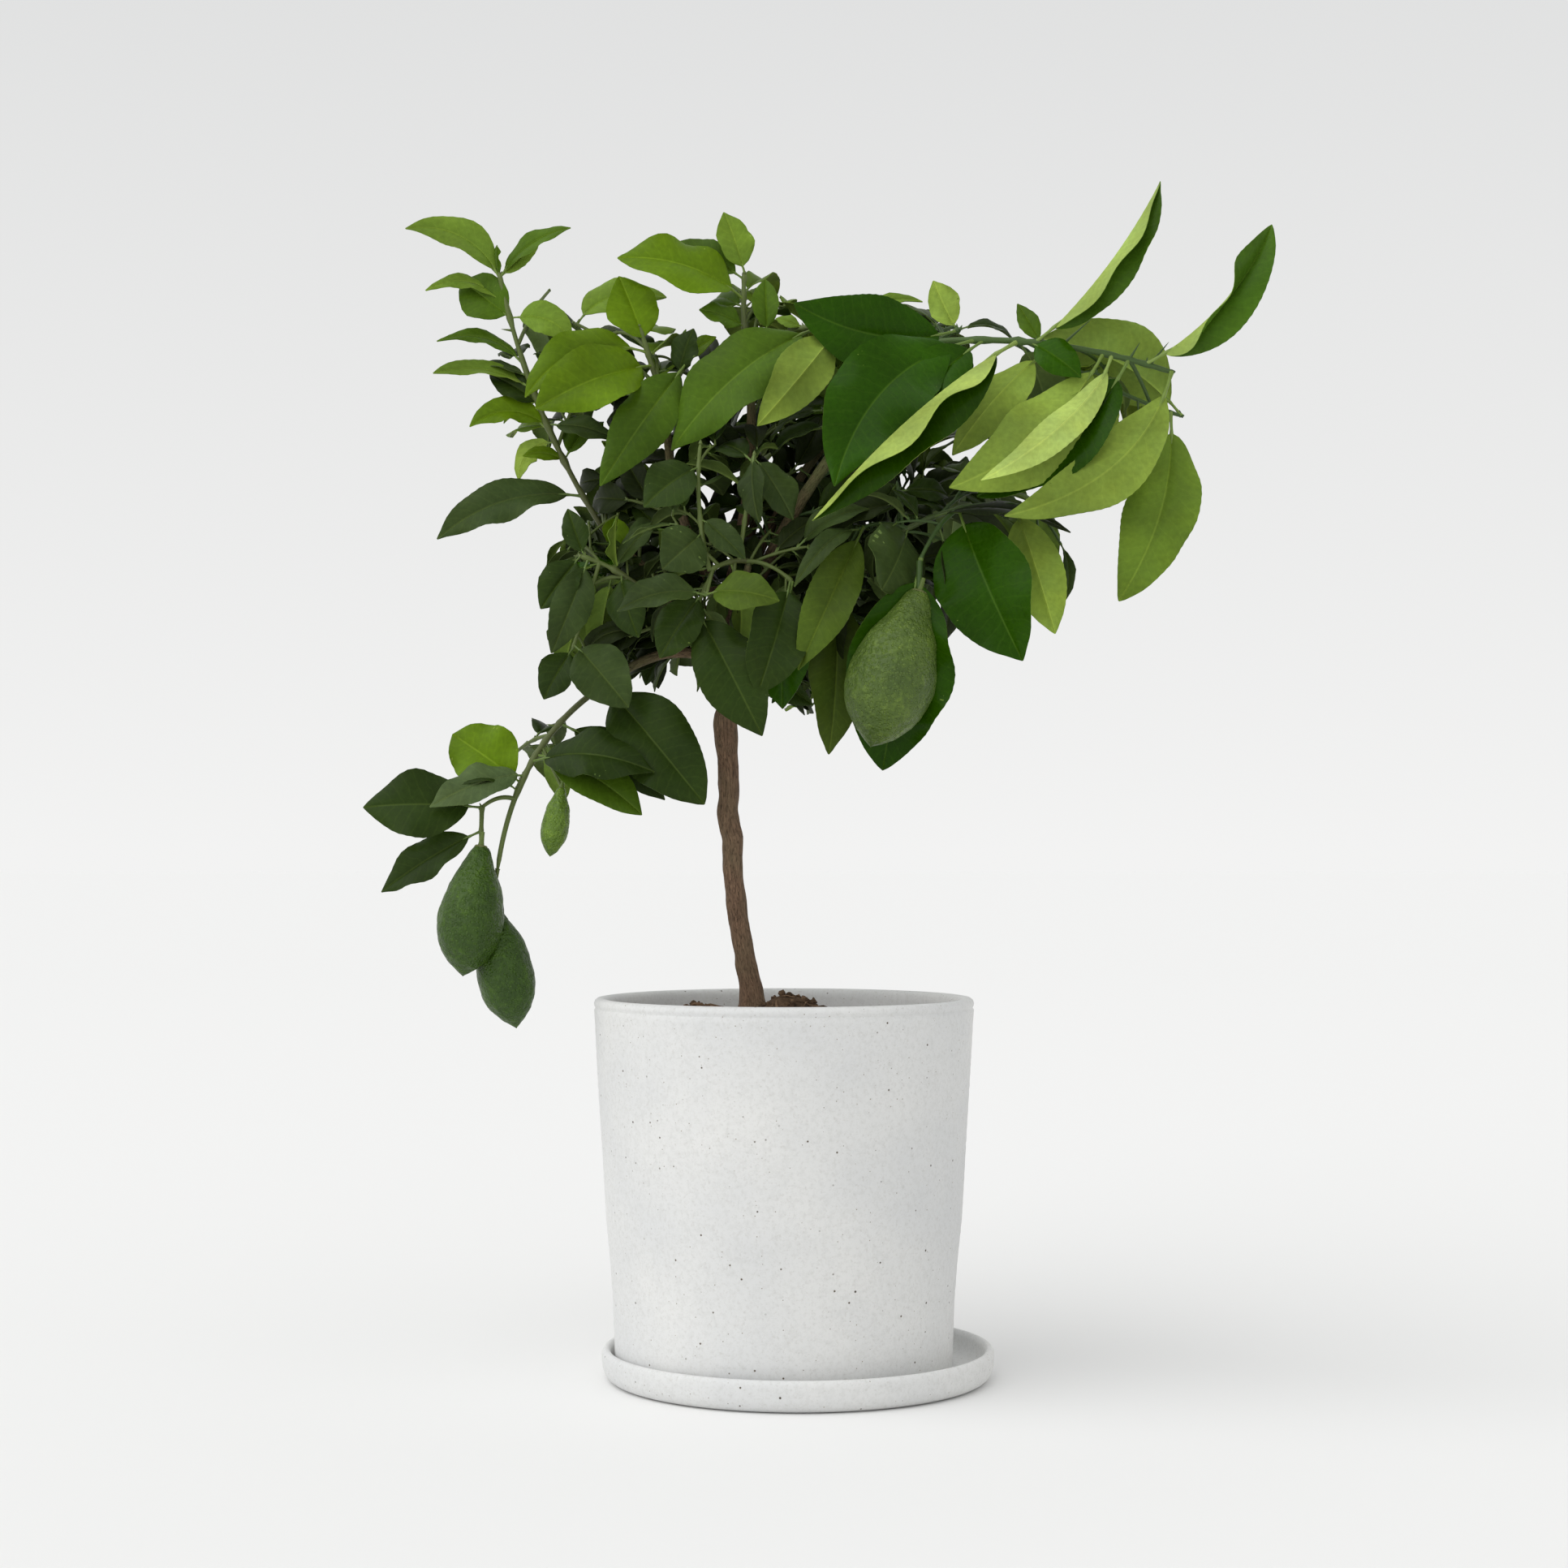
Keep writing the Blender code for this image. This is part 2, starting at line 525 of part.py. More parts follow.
def tube(name, path, radii, resolution, collection):
    """A closed mesh tube along a path, with a radius at each point."""
    curve = bpy.data.curves.new(name, "CURVE")
    curve.dimensions = "3D"
    curve.bevel_depth = MM
    curve.bevel_resolution = resolution
    curve.use_fill_caps = True
    spline = curve.splines.new("POLY")
    spline.points.add(len(path) - 1)
    for point, place, radius in zip(spline.points, path, radii):
        point.co = (*(place * MM), 1)
        point.radius = radius
    guide = bpy.data.objects.new(name, curve)
    collection.objects.link(guide)
    depsgraph = bpy.context.evaluated_depsgraph_get()
    mesh = bpy.data.meshes.new_from_object(guide.evaluated_get(depsgraph))
    bpy.data.objects.remove(guide)
    shape = bmesh.new()
    shape.from_mesh(mesh)
    bmesh.ops.remove_doubles(shape, verts=shape.verts, dist=0.00001)
    bmesh.ops.recalc_face_normals(shape, faces=shape.faces)
    shape.to_mesh(mesh)
    shape.free()
    return new_object(name, mesh, collection, "bark")


def trunk_at(height):
    """The trunk's centre and radius at a height."""
    for low, high in zip(TRUNK, TRUNK[1:]):
        if height <= high[2]:
            share = (height - low[2]) / (high[2] - low[2])
            x, y, z, radius = (a + (b - a) * share for a, b in zip(low, high))
            return Vector((x, y, z)), radius
    return Vector(TRUNK[-1][:3]), TRUNK[-1][3]


def trunk(parts):
    """The trunk, with a low root flare at its flat foot."""
    path = [Vector(knot[:3]) for knot in TRUNK]
    made = tube("trunk", path, [knot[3] for knot in TRUNK], 4, parts)
    foot = TRUNK_FOOT_Z * MM
    for vertex in made.data.vertices:
        above = (vertex.co.z - foot) / (TRUNK_FLARE_HEIGHT * MM)
        if above < 0.1:
            vertex.co.z = foot
        if above < 1:
            centre, _ = trunk_at(max(vertex.co.z / MM, TRUNK_FOOT_Z))
            across = Vector((vertex.co.x - centre.x * MM, vertex.co.y - centre.y * MM))
            lobe = 0.5 + 0.5 * math.cos(TRUNK_ROOTS * math.atan2(across.y, across.x))
            swell = 1 + TRUNK_FLARE * lobe * (1 - max(above, 0)) ** 2
            vertex.co.x = centre.x * MM + across.x * swell
            vertex.co.y = centre.y * MM + across.y * swell
    return made


def clear_start(limb, first, thick):
    """Where a tube starts past a limb's tip, so that its root's edge is just clear of the limb."""
    heading = (limb[-1] - limb[-2]).normalized()
    return limb[-1] + heading * (GAP + thick * heading.cross(first).length)


def clear_of_trunk(centre, heading, thick):
    """How far a limb's root ring is from the trunk's surface at its nearest."""
    side = heading.orthogonal().normalized() * thick
    other = heading.cross(side)
    gaps = []
    for step in range(ROOT_RING_STEPS):
        angle = 2 * math.pi * step / ROOT_RING_STEPS
        place = centre + side * math.cos(angle) + other * math.sin(angle)
        middle, radius = trunk_at(place.z)
        gaps.append(math.hypot(place.x - middle.x, place.y - middle.y) - radius)
    return min(gaps)


def bough_path(bough):
    """The middle line of a bough, from just clear of the trunk to its tip."""
    reach, bow = Vector(bough.reach), Vector(bough.bow)
    first = bowed(Vector(), reach, bow, LIMB_STATIONS)[1].normalized()
    if bough.height is None:
        trunk_top = [Vector(knot[:3]) for knot in TRUNK[-2:]]
        return bowed(clear_start(trunk_top, first, bough.thick), reach, bow, LIMB_STATIONS)
    start, radius = trunk_at(bough.height)
    outward = Vector((first.x, first.y, 0)).normalized()
    start += outward * (radius + bough.thick)
    for _ in range(SEATING_ROUNDS):
        start += outward * (GAP + BARK_ALLOWANCE - clear_of_trunk(start, first, bough.thick))
    return bowed(start, reach, bow, LIMB_STATIONS)


def limb_radii(thick, thin, count):
    """Radii that taper evenly from thick to thin."""
    return [thick + (thin - thick) * i / (count - 1) for i in range(count)]


def shoot_radii(thick):
    """A shoot's radii from root to tip."""
    return limb_radii(thick, thick * SHOOT_TAPER, SHOOT_STATIONS)


def stem_start(stem, limb):
    """Where a mass's stem starts, just clear of its bough's tip."""
    path = bowed(Vector(), Vector(stem.reach), Vector(stem.bow), SHOOT_STATIONS)
    return clear_start(limb, path[1].normalized(), stem.thick)


def mass_paths(mass, start):
    """The middle line of each of a mass's shoots placed by eye."""
    paths = []
    for shoot in mass.shoots:
        root = start if shoot.parent is None else along_path(paths[shoot.parent], shoot.at)[0]
        paths.append(bowed(root, Vector(shoot.reach), Vector(shoot.bow), SHOOT_STATIONS))
    return paths


def half_width(share):
    """A leaf's half width at a share of its blade, as a share of its widest."""
    return math.sin(math.pi * share ** LEAF_BROADEST) ** 0.85


def leaf_axes(leaf):
    """A leaf's axes: along its chord, across its blade, and out of its upper side."""
    along = Vector(leaf.reach).normalized()
    sky = UP - along * UP.dot(along)
    if sky.length < 0.05:
        sky = FRONT - along * FRONT.dot(along)
    sky.normalize()
    toward = along.cross(sky)
    if toward.dot(FRONT) < 0:
        toward.negate()
    lean = math.radians(leaf.lean)
    out = sky * math.cos(lean) + toward * math.sin(lean)
    return along, along.cross(out), out


def leaf_frame(leaf, root, share):
    """The midrib's point at a share of a leaf's length, with the sideways and upward directions there."""
    along, across, out = leaf_axes(leaf)
    length = Vector(leaf.reach).length
    swell = 4 * share * (1 - share)
    point = root + length * (along * share + (out * leaf.arch + across * leaf.sway) * swell)
    slope = 4 * (1 - 2 * share)
    heading = (along + (out * leaf.arch + across * leaf.sway) * slope).normalized()
    turn = math.radians(leaf.twist) * (share - 0.5)
    side = across * math.cos(turn) + out * math.sin(turn)
    side = (side - heading * side.dot(heading)).normalized()
    return point, side, side.cross(heading)


def leaf_shape(leaf, root, grow=0.0, blade_only=False):
    """A leaf's points and faces: a closed keeled blade with sharp edges, narrowing to its stalk."""
    length = Vector(leaf.reach).length
    keel = max(length * LEAF_THICKNESS, THINNEST_LEAF)
    sections = [] if blade_only else [(0.0, STALK_HALF, STALK_HALF)]
    for share in LEAF_STATIONS:
        blade = (share - STALK_SHARE) / (1 - STALK_SHARE)
        sections.append((share, half_width(blade) * leaf.wide * length / 2, keel))
    points = []
    for share, half, deep in sections:
        centre, side, up = leaf_frame(leaf, root, share)
        points += [
            centre - side * (half + grow) + up * (deep / 3 + grow),
            centre + side * (half + grow) + up * (deep / 3 + grow),
            centre - up * (deep * 2 / 3 + grow),
        ]
    tip, _, _ = leaf_frame(leaf, root, 1.0)
    points.append(tip + Vector(leaf.reach).normalized() * grow)
    last = len(points) - 4
    faces = [(2, 1, 0)]
    faces += [
        (low + corner, low + (corner + 1) % 3, low + 3 + (corner + 1) % 3, low + 3 + corner)
        for low in range(0, last, 3)
        for corner in range(3)
    ]
    faces += [(last + corner, last + (corner + 1) % 3, last + 3) for corner in range(3)]
    return points, faces


def lemon(name, top, axis, wide, collection):
    """A lemon as a turned solid that hangs from its stalk's tip."""
    length = axis.length
    profile = [(radius * wide / 2, -share * length) for share, radius in LEMON_PROFILE]
    profile.insert(0, (0.0, 0.0))
    made = turned(name, profile, LEMON_STEPS, collection, "leaf", False)
    turn = Vector((0, 0, -1)).rotation_difference(axis.normalized())
    made.matrix_world = Matrix.Translation(top * MM) @ turn.to_matrix().to_4x4()
    bpy.context.view_layer.update()
    apply_modifiers(made)
    return made


def box_of(points):
    """The lowest and highest corners of some points."""
    return tuple([pick(p[i] for p in points) for i in range(3)] for pick in (min, max))


class Space:
    """What already stands where, so that nothing new runs into another solid."""

    def __init__(self):
        self.taken = []

    def add(self, node, points, faces, thin=False):
        """Takes a shape's place for a node. A thin shape is one that the node's own new leaves avoid too."""
        self.taken.append((node, BVHTree.FromPolygons(points, faces), box_of(points), thin))

    def free(self, node, points, faces, own):
        """Whether a shape is clear of every other node, and of its own node's thin shapes if asked."""
        tree = BVHTree.FromPolygons(points, faces)
        low, high = box_of(points)
        for other, other_tree, (other_low, other_high), thin in self.taken:
            if other == node and not (own and thin):
                continue
            apart = any(low[i] > other_high[i] or high[i] < other_low[i] for i in range(3))
            if not apart and tree.overlap(other_tree):
                return False
        return True


def probe(path, radii):
    """A square tube that holds a limb, for testing what the limb would touch."""
    across = (path[-1] - path[0]).orthogonal()
    points = []
    for i, (place, radius) in enumerate(zip(path, radii)):
        heading = path[min(i + 1, len(path) - 1)] - path[max(i - 1, 0)]
        side = heading.cross(across).normalized()
        other = heading.cross(side).normalized()
        corners = ((-1, -1), (1, -1), (1, 1), (-1, 1))
        points += [place + (side * a + other * b) * radius for a, b in corners]
    faces = [(3, 2, 1, 0), tuple(len(points) - 4 + i for i in range(4))]
    for low in range(0, len(points) - 4, 4):
        faces += [(low + i, low + (i + 1) % 4, low + 4 + (i + 1) % 4, low + 4 + i) for i in range(4)]
    return points, faces


def within(mass, point):
    """Whether a point is inside a mass's own space."""
    away = Vector(point) - Vector(mass.centre)
    return sum((away[i] / mass.space[i]) ** 2 for i in range(3)) <= 1


def placed_leaf(space, node, leaf, root):
    """The leaf placed by eye, its tip moved forward or back as far as it needs to be clear."""
    for step in DEPTH_STEPS:
        reach = Vector(leaf.reach) + Vector((0, step, 0))
        tried = leaf._replace(reach=tuple(reach))
        if space.free(node, *leaf_shape(tried, root, LEAF_CLEARANCE), False):
            return tried
    return None


def spread_from(direction, angle, spread, from_behind):
    """A direction that leaves another by the spread, at an angle round it."""
    first = direction.orthogonal().normalized()
    round_it = first * math.cos(angle) + direction.cross(first) * math.sin(angle)
    if from_behind and round_it.y < 0:
        round_it.y *= -BACKWARD
    return (direction * math.cos(spread) + round_it.normalized() * math.sin(spread)).normalized()


def ruled_leaf(space, node, mass, root, direction, number, chance):
    """The leaf that the rule puts at a place, turned until it fits its mass's space, or None."""
    for turn in TURNS:
        angle = number * GOLDEN_ANGLE + math.radians(turn)
        way = spread_from(direction, angle, LEAF_SPREAD, mass.centre[1] < FRONT_DEPTH)
        way.z -= DROOP
        length = mass.leaf_length * chance.uniform(*LEAF_VARIES)
        leaf = Leaf(
            at=0,
            reach=tuple(way.normalized() * length),
            lean=chance.uniform(*LEAF_LEAN),
            arch=chance.uniform(*LEAF_ARCH),
            wide=chance.uniform(*LEAF_WIDE),
            twist=chance.uniform(*LEAF_TWIST),
        )
        if not within(mass, root + Vector(leaf.reach)):
            continue
        clear = space.free(node, *leaf_shape(leaf, root, LEAF_CLEARANCE), False)
        if clear and space.free(node, *leaf_shape(leaf, root, LEAF_CLEARANCE, True), True):
            return leaf
    return None


def ruled_twigs(space, node, mass, stem, chance):
    """The twigs that the rule adds to a mass's stem, each as its middle line."""
    twigs = []
    shortest, longest = TWIG_REACH
    low, high = TWIGS_ALONG
    reach = min(max(path_length(stem) * TWIG_SHARE, shortest), longest)
    for number in range(mass.twigs):
        root, direction = along_path(stem, low + (high - low) * (number + 0.5) / mass.twigs)
        for turn in TURNS:
            angle = number * GOLDEN_ANGLE + math.radians(turn)
            way = spread_from(direction, angle, TWIG_SPREAD, mass.centre[1] < FRONT_DEPTH)
            reached = way * reach * chance.uniform(*TWIG_VARIES)
            path = bowed(root, reached, Vector(TWIG_BOW), SHOOT_STATIONS)
            room = probe(path, [TWIG_THICK + LEAF_CLEARANCE] * SHOOT_STATIONS)
            if within(mass, path[-1]) and space.free(node, *room, False):
                twigs.append(path)
                space.add(node, *probe(path, [TWIG_THICK] * SHOOT_STATIONS), True)
                break
    return twigs


def take_leaf(space, node, leaf, root, plan):
    """Puts a leaf in a mass's plan and takes its place."""
    space.add(node, *leaf_shape(leaf, root, 0, True), True)
    space.add(node, *leaf_shape(leaf, root))
    plan["leaves"].append((leaf, root))


def add_fruit(space, node, mass, plan):
    """Hangs a mass's fruit in its plan."""
    for fruit in mass.fruit:
        stalk_tip, heading = along_path(plan["paths"][fruit.shoot], 1.0)
        axis = Vector(fruit.axis)
        plan["fruit"].append((stalk_tip - heading * STALK_IN_LEMON, axis, fruit.wide))
        core = bowed(stalk_tip, axis, Vector(), SHOOT_STATIONS)
        space.add(node, *probe(core, [fruit.wide * LEMON_CORE] * SHOOT_STATIONS), True)


def add_by_rule(space, node, mass, plan, chance):
    """Adds the rule's twigs and leaves to a mass's plan."""
    fills = [(path, shoot.fill) for path, shoot in zip(plan["paths"], mass.shoots)]
    twigs = ruled_twigs(space, node, mass, plan["paths"][0], chance)
    plan["paths"] += twigs
    plan["thick"] += [TWIG_THICK] * len(twigs)
    fills += [(path, TWIG_LEAVES) for path in twigs]
    low, high = LEAVES_ALONG
    for path, count in fills:
        for number in range(count):
            root, direction = along_path(path, low + (high - low) * (number + LEAF_LATE) / count)
            leaf = ruled_leaf(space, node, mass, root, direction, number, chance)
            if leaf is not None:
                take_leaf(space, node, leaf, root, plan)


def plan_masses(space, starts):
    """Each mass's shoots, leaves and fruit: first all that are placed by eye, then what the rule adds."""
    plans = {}
    for node, mass in MASSES.items():
        paths = mass_paths(mass, starts[mass.bough])
        for path, shoot in zip(paths, mass.shoots):
            space.add(node, *probe(path, [shoot.thick] * SHOOT_STATIONS), True)
        plans[node] = {"paths": paths, "thick": [s.thick for s in mass.shoots], "leaves": [], "fruit": []}
    for node, mass in MASSES.items():
        add_fruit(space, node, mass, plans[node])
    for node, mass in MASSES.items():
        for path, shoot in zip(plans[node]["paths"], mass.shoots):
            for leaf in shoot.leaves:
                root, _ = along_path(path, leaf.at)
                fitted = placed_leaf(space, node, leaf, root)
                if fitted is not None:
                    take_leaf(space, node, fitted, root, plans[node])
    for number, (node, mass) in enumerate(MASSES.items()):
        add_by_rule(space, node, mass, plans[node], random.Random(SEED + number))
    return plans


def plan_limbs(space):
    """Each bough's middle line, and where the stem of the mass on it starts."""
    space.add("trunk", *probe([Vector(knot[:3]) for knot in TRUNK], [knot[3] for knot in TRUNK]))
    stems = {mass.bough: mass.shoots[0] for mass in MASSES.values()}
    limbs, starts = {}, {}
    for name, bough in BOUGHS.items():
        path = bough_path(bough)
        space.add(name, *probe(path, limb_radii(bough.thick, bough.thin, LIMB_STATIONS)))
        limbs[name] = path
        starts[name] = stem_start(stems[name], path)
    return limbs, starts


def keep_biggest_body(mesh):
    """Keeps a mesh's largest body: loose scraps go, and so do sealed hollows, which that fills."""
    shape = bmesh.new()
    shape.from_mesh(mesh)
    left = set(shape.verts)
    bodies = []
    while left:
        seed = left.pop()
        body, edge = {seed}, [seed]
        while edge:
            for link in edge.pop().link_edges:
                for vertex in link.verts:
                    if vertex in left:
                        left.discard(vertex)
                        body.add(vertex)
                        edge.append(vertex)
        bodies.append(body)
    bodies.sort(key=len, reverse=True)
    loose = [vertex for body in bodies[1:] for vertex in body]
    bmesh.ops.delete(shape, geom=loose, context="VERTS")
    bmesh.ops.dissolve_limit(shape, angle_limit=FLAT_ANGLE, verts=shape.verts, edges=shape.edges)
    bmesh.ops.triangulate(shape, faces=shape.faces)
    shape.to_mesh(mesh)
    shape.free()


def fused_mass(node, plan, parts, scratch):
    """One solid from a mass's stem, twigs, leaves and fruit."""
    operands = bpy.data.collections.new(node + "_operands")
    scratch.children.link(operands)
    shoots = [
        tube(f"{node}_shoot_{i}", path, shoot_radii(thick), 0, parts if i == 0 else operands)
        for i, (path, thick) in enumerate(zip(plan["paths"], plan["thick"]))
    ]
    for number, (leaf, root) in enumerate(plan["leaves"]):
        blade = mesh_from("leaf", *leaf_shape(leaf, root))
        new_object(f"{node}_leaf_{number}", blade, operands, "leaf")
    for number, (top, axis, wide) in enumerate(plan["fruit"]):
        lemon(f"{node}_lemon_{number}", top, axis, wide, operands)
    made = shoots[0]
    made.name = node
    join = made.modifiers.new("fuse", "BOOLEAN")
    join.operation = "UNION"
    join.operand_type = "COLLECTION"
    join.collection = operands
    join.solver = "MANIFOLD"
    bpy.context.view_layer.update()
    apply_modifiers(made)
    for operand in list(operands.objects):
        bpy.data.objects.remove(operand)
    bpy.data.collections.remove(operands)
    keep_biggest_body(made.data)


def build():
    """The whole plant with its pot."""
    for old in list(bpy.data.objects):
        bpy.data.objects.remove(old)
    parts = bpy.data.collections.new("potted_lemon_tree")
    scratch = bpy.data.collections.new("cutters")
    for collection in (parts, scratch):
        bpy.context.scene.collection.children.link(collection)
    saucer(parts)
    pot(parts)
    soil(parts, scratch)
    trunk(parts)
    space = Space()
    limbs, starts = plan_limbs(space)
    for name, path in limbs.items():
        radii = limb_radii(BOUGHS[name].thick, BOUGHS[name].thin, LIMB_STATIONS)
        tube(name, path, radii, 1, parts)
    for node, plan in plan_masses(space, starts).items():
        fused_mass(node, plan, parts, scratch)


build()
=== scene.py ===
"""The looks of a young lemon tree in a stoneware pot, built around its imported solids.

Sizes are in millimetres until MM turns them into metres. X runs right, Y away from the camera, Z up.
"""
import json
import math
import random
from collections import namedtuple
from functools import cache

import bpy
import numpy as np
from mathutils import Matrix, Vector, noise
from mathutils.bvhtree import BVHTree
from mathutils.kdtree import KDTree

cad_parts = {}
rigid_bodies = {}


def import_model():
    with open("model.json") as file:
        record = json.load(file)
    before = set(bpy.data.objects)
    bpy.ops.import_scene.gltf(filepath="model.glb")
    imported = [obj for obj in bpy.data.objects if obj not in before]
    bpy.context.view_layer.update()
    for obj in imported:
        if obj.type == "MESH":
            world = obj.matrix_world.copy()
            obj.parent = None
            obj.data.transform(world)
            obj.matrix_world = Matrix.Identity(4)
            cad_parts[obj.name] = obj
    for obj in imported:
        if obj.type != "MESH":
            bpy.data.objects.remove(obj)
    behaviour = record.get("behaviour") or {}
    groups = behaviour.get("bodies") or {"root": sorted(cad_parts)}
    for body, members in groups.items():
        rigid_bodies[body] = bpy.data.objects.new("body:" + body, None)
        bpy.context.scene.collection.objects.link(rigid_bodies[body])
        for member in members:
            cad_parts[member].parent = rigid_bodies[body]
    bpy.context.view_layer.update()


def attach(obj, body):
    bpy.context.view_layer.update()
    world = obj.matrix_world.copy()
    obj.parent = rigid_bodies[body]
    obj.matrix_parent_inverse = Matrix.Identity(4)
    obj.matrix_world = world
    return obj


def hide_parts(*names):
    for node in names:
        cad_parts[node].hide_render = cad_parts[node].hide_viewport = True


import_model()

MM = 0.001
UP = Vector((0, 0, 1))
FRONT = Vector((0, -1, 0))
GOLDEN_ANGLE = math.radians(137.5)

# Clearances
GAP = 0.3
BARK_ALLOWANCE = 0.15
LEAF_CLEARANCE = 0.5

# Saucer
SAUCER_CENTRE = (7.5, 4.0)
SAUCER_RADIUS = 103.6
SAUCER_WALL = 4.9
SAUCER_HEIGHT = 16.8
SAUCER_FLOOR = 5.2

# Pot, as its outer radius at each height above the surface
POT_FOOT_Z = SAUCER_FLOOR + GAP
POT_TOP_Z = 201.0
POT_SIDE = ((8.5, 88.8), (42, 89.9), (64, 91.5), (85, 93.6), (149, 97.3), (192, 99.7))
POT_RIM_RADIUS = 100.0
POT_WALL = 8.0
POT_FLOOR_Z = 20.0

# The pot's lip: how far out from its radius and up from its top
POT_LIP = (
    (-0.15, -8.2), (-0.05, -6.4), (-0.55, -5.4), (-0.60, -4.9), (-0.05, -4.0), (0.05, -2.6), (-0.45, -1.2),
    (-1.6, -0.25), (-3.2, 0.0), (-5.0, -0.2), (-6.7, -1.0), (-7.7, -2.6), (-8.0, -5.0),
)

# Soil, and its heaps: where each is, how wide and how high
SOIL_Z = 190.5
SOIL_HEAPS = ((2, -4, 17, 11.5), (-46, -30, 20, 7.5), (30, 34, 34, 4.0), (-40, 40, 30, 3.0))

# Trunk, as its centre line and radius from the flat cut at the soil up to the fork
TRUNK_FOOT_Z = 196.0
TRUNK = (
    (-16.8, 0, TRUNK_FOOT_Z, 8.0),
    (-17.0, 0, 199, 7.0),
    (-17.6, 0, 206, 6.2),
    (-20.6, 0, 222, 5.6),
    (-23.8, 0, 241, 5.3),
    (-26.8, 0, 268, 5.3),
    (-27.1, 0, 284, 5.7),
    (-29.7, 0, 297, 5.7),
    (-29.0, 0, 312, 5.4),
    (-30.0, 0, 330, 5.8),
    (-30.8, 0, 343, 6.6),
    (-30.8, 0, 349, 6.3),
    (-30.2, 1, 356, 4.9),
    (-28.5, 3, 378, 4.6),
    (-27.2, 5, 402, 4.3),
    (-26.5, 6, 426, 3.8),
)

# Boughs: the height where each leaves the trunk, how far it reaches, its bow, its two radii, and how green
# it is at its outer end. A bough with no height stands on the trunk's tip.
Bough = namedtuple("Bough", "height reach bow thick thin green", defaults=(0.35,))
BOUGHS = {
    "bough_top": Bough(None, (7, 2, 116), (5, 2, 0), 3.3, 2.2),
    "bough_upper_left": Bough(411, (-28, -4, 96), (-7, -3, 0), 3.0, 2.1),
    "bough_left_high": Bough(401, (-62, 9, 47), (0, 0, -4), 3.0, 2.2),
    "bough_left_mid": Bough(389, (-36, -17, 22), (0, -2, 3), 2.6, 2.0),
    "bough_left_low": Bough(379, (-58, -6, -12), (0, 0, 9), 3.2, 2.4),
    "bough_front": Bough(398, (8, -30, 28), (0, -3, -4), 2.6, 2.0),
    "bough_right_top": Bough(419, (82, 9, 116), (-8, 4, 6), 2.9, 2.1, 0.6),
    "bough_right_long": Bough(404, (101, -28, 137), (-8, -4, 8), 3.6, 2.6, 1.0),
    "bough_right_low": Bough(384, (84, -24, 60), (0, 2, -7), 3.0, 2.2, 0.7),
    "bough_back_left": Bough(386, (-48, 62, 36), (0, 0, 8), 2.9, 2.1),
    "bough_back_right": Bough(394, (78, 60, 62), (0, 4, -6), 2.9, 2.1),
    "bough_back_top": Bough(408, (26, 44, 92), (-4, 6, 0), 2.8, 2.0),
    "bough_back_low": Bough(368, (40, 56, 14), (0, 0, 7), 2.5, 1.9),
}
LIMB_STATIONS = 6
ROOT_RING_STEPS = 12
SEATING_ROUNDS = 3
SHOOT_STATIONS = 4
SHOOT_TAPER = 0.75

# A leaf: its place along the shoot, how far its tip lies right, back and up from there, its tone, the lean
# of its upper side from the sky (0) through the front (90) to face down (180), the arch of its midrib as a
# share of the length, its width as a share of the length, its twist from end to end and its sideways bend.
Leaf = namedtuple("Leaf", "at reach tone lean arch wide twist sway", defaults=(0, 0))

# A shoot: the shoot it grows from (None for the mass's stem, which meets its bough), its place along
# that, its reach and bow, its radius, the listed leaves and the number placed by the rule.
Shoot = namedtuple("Shoot", "parent at reach bow thick leaves fill", defaults=((), 0))

# A fruit: the shoot at whose tip it hangs, the way and length of its axis, and its width.
Fruit = namedtuple("Fruit", "shoot axis wide")

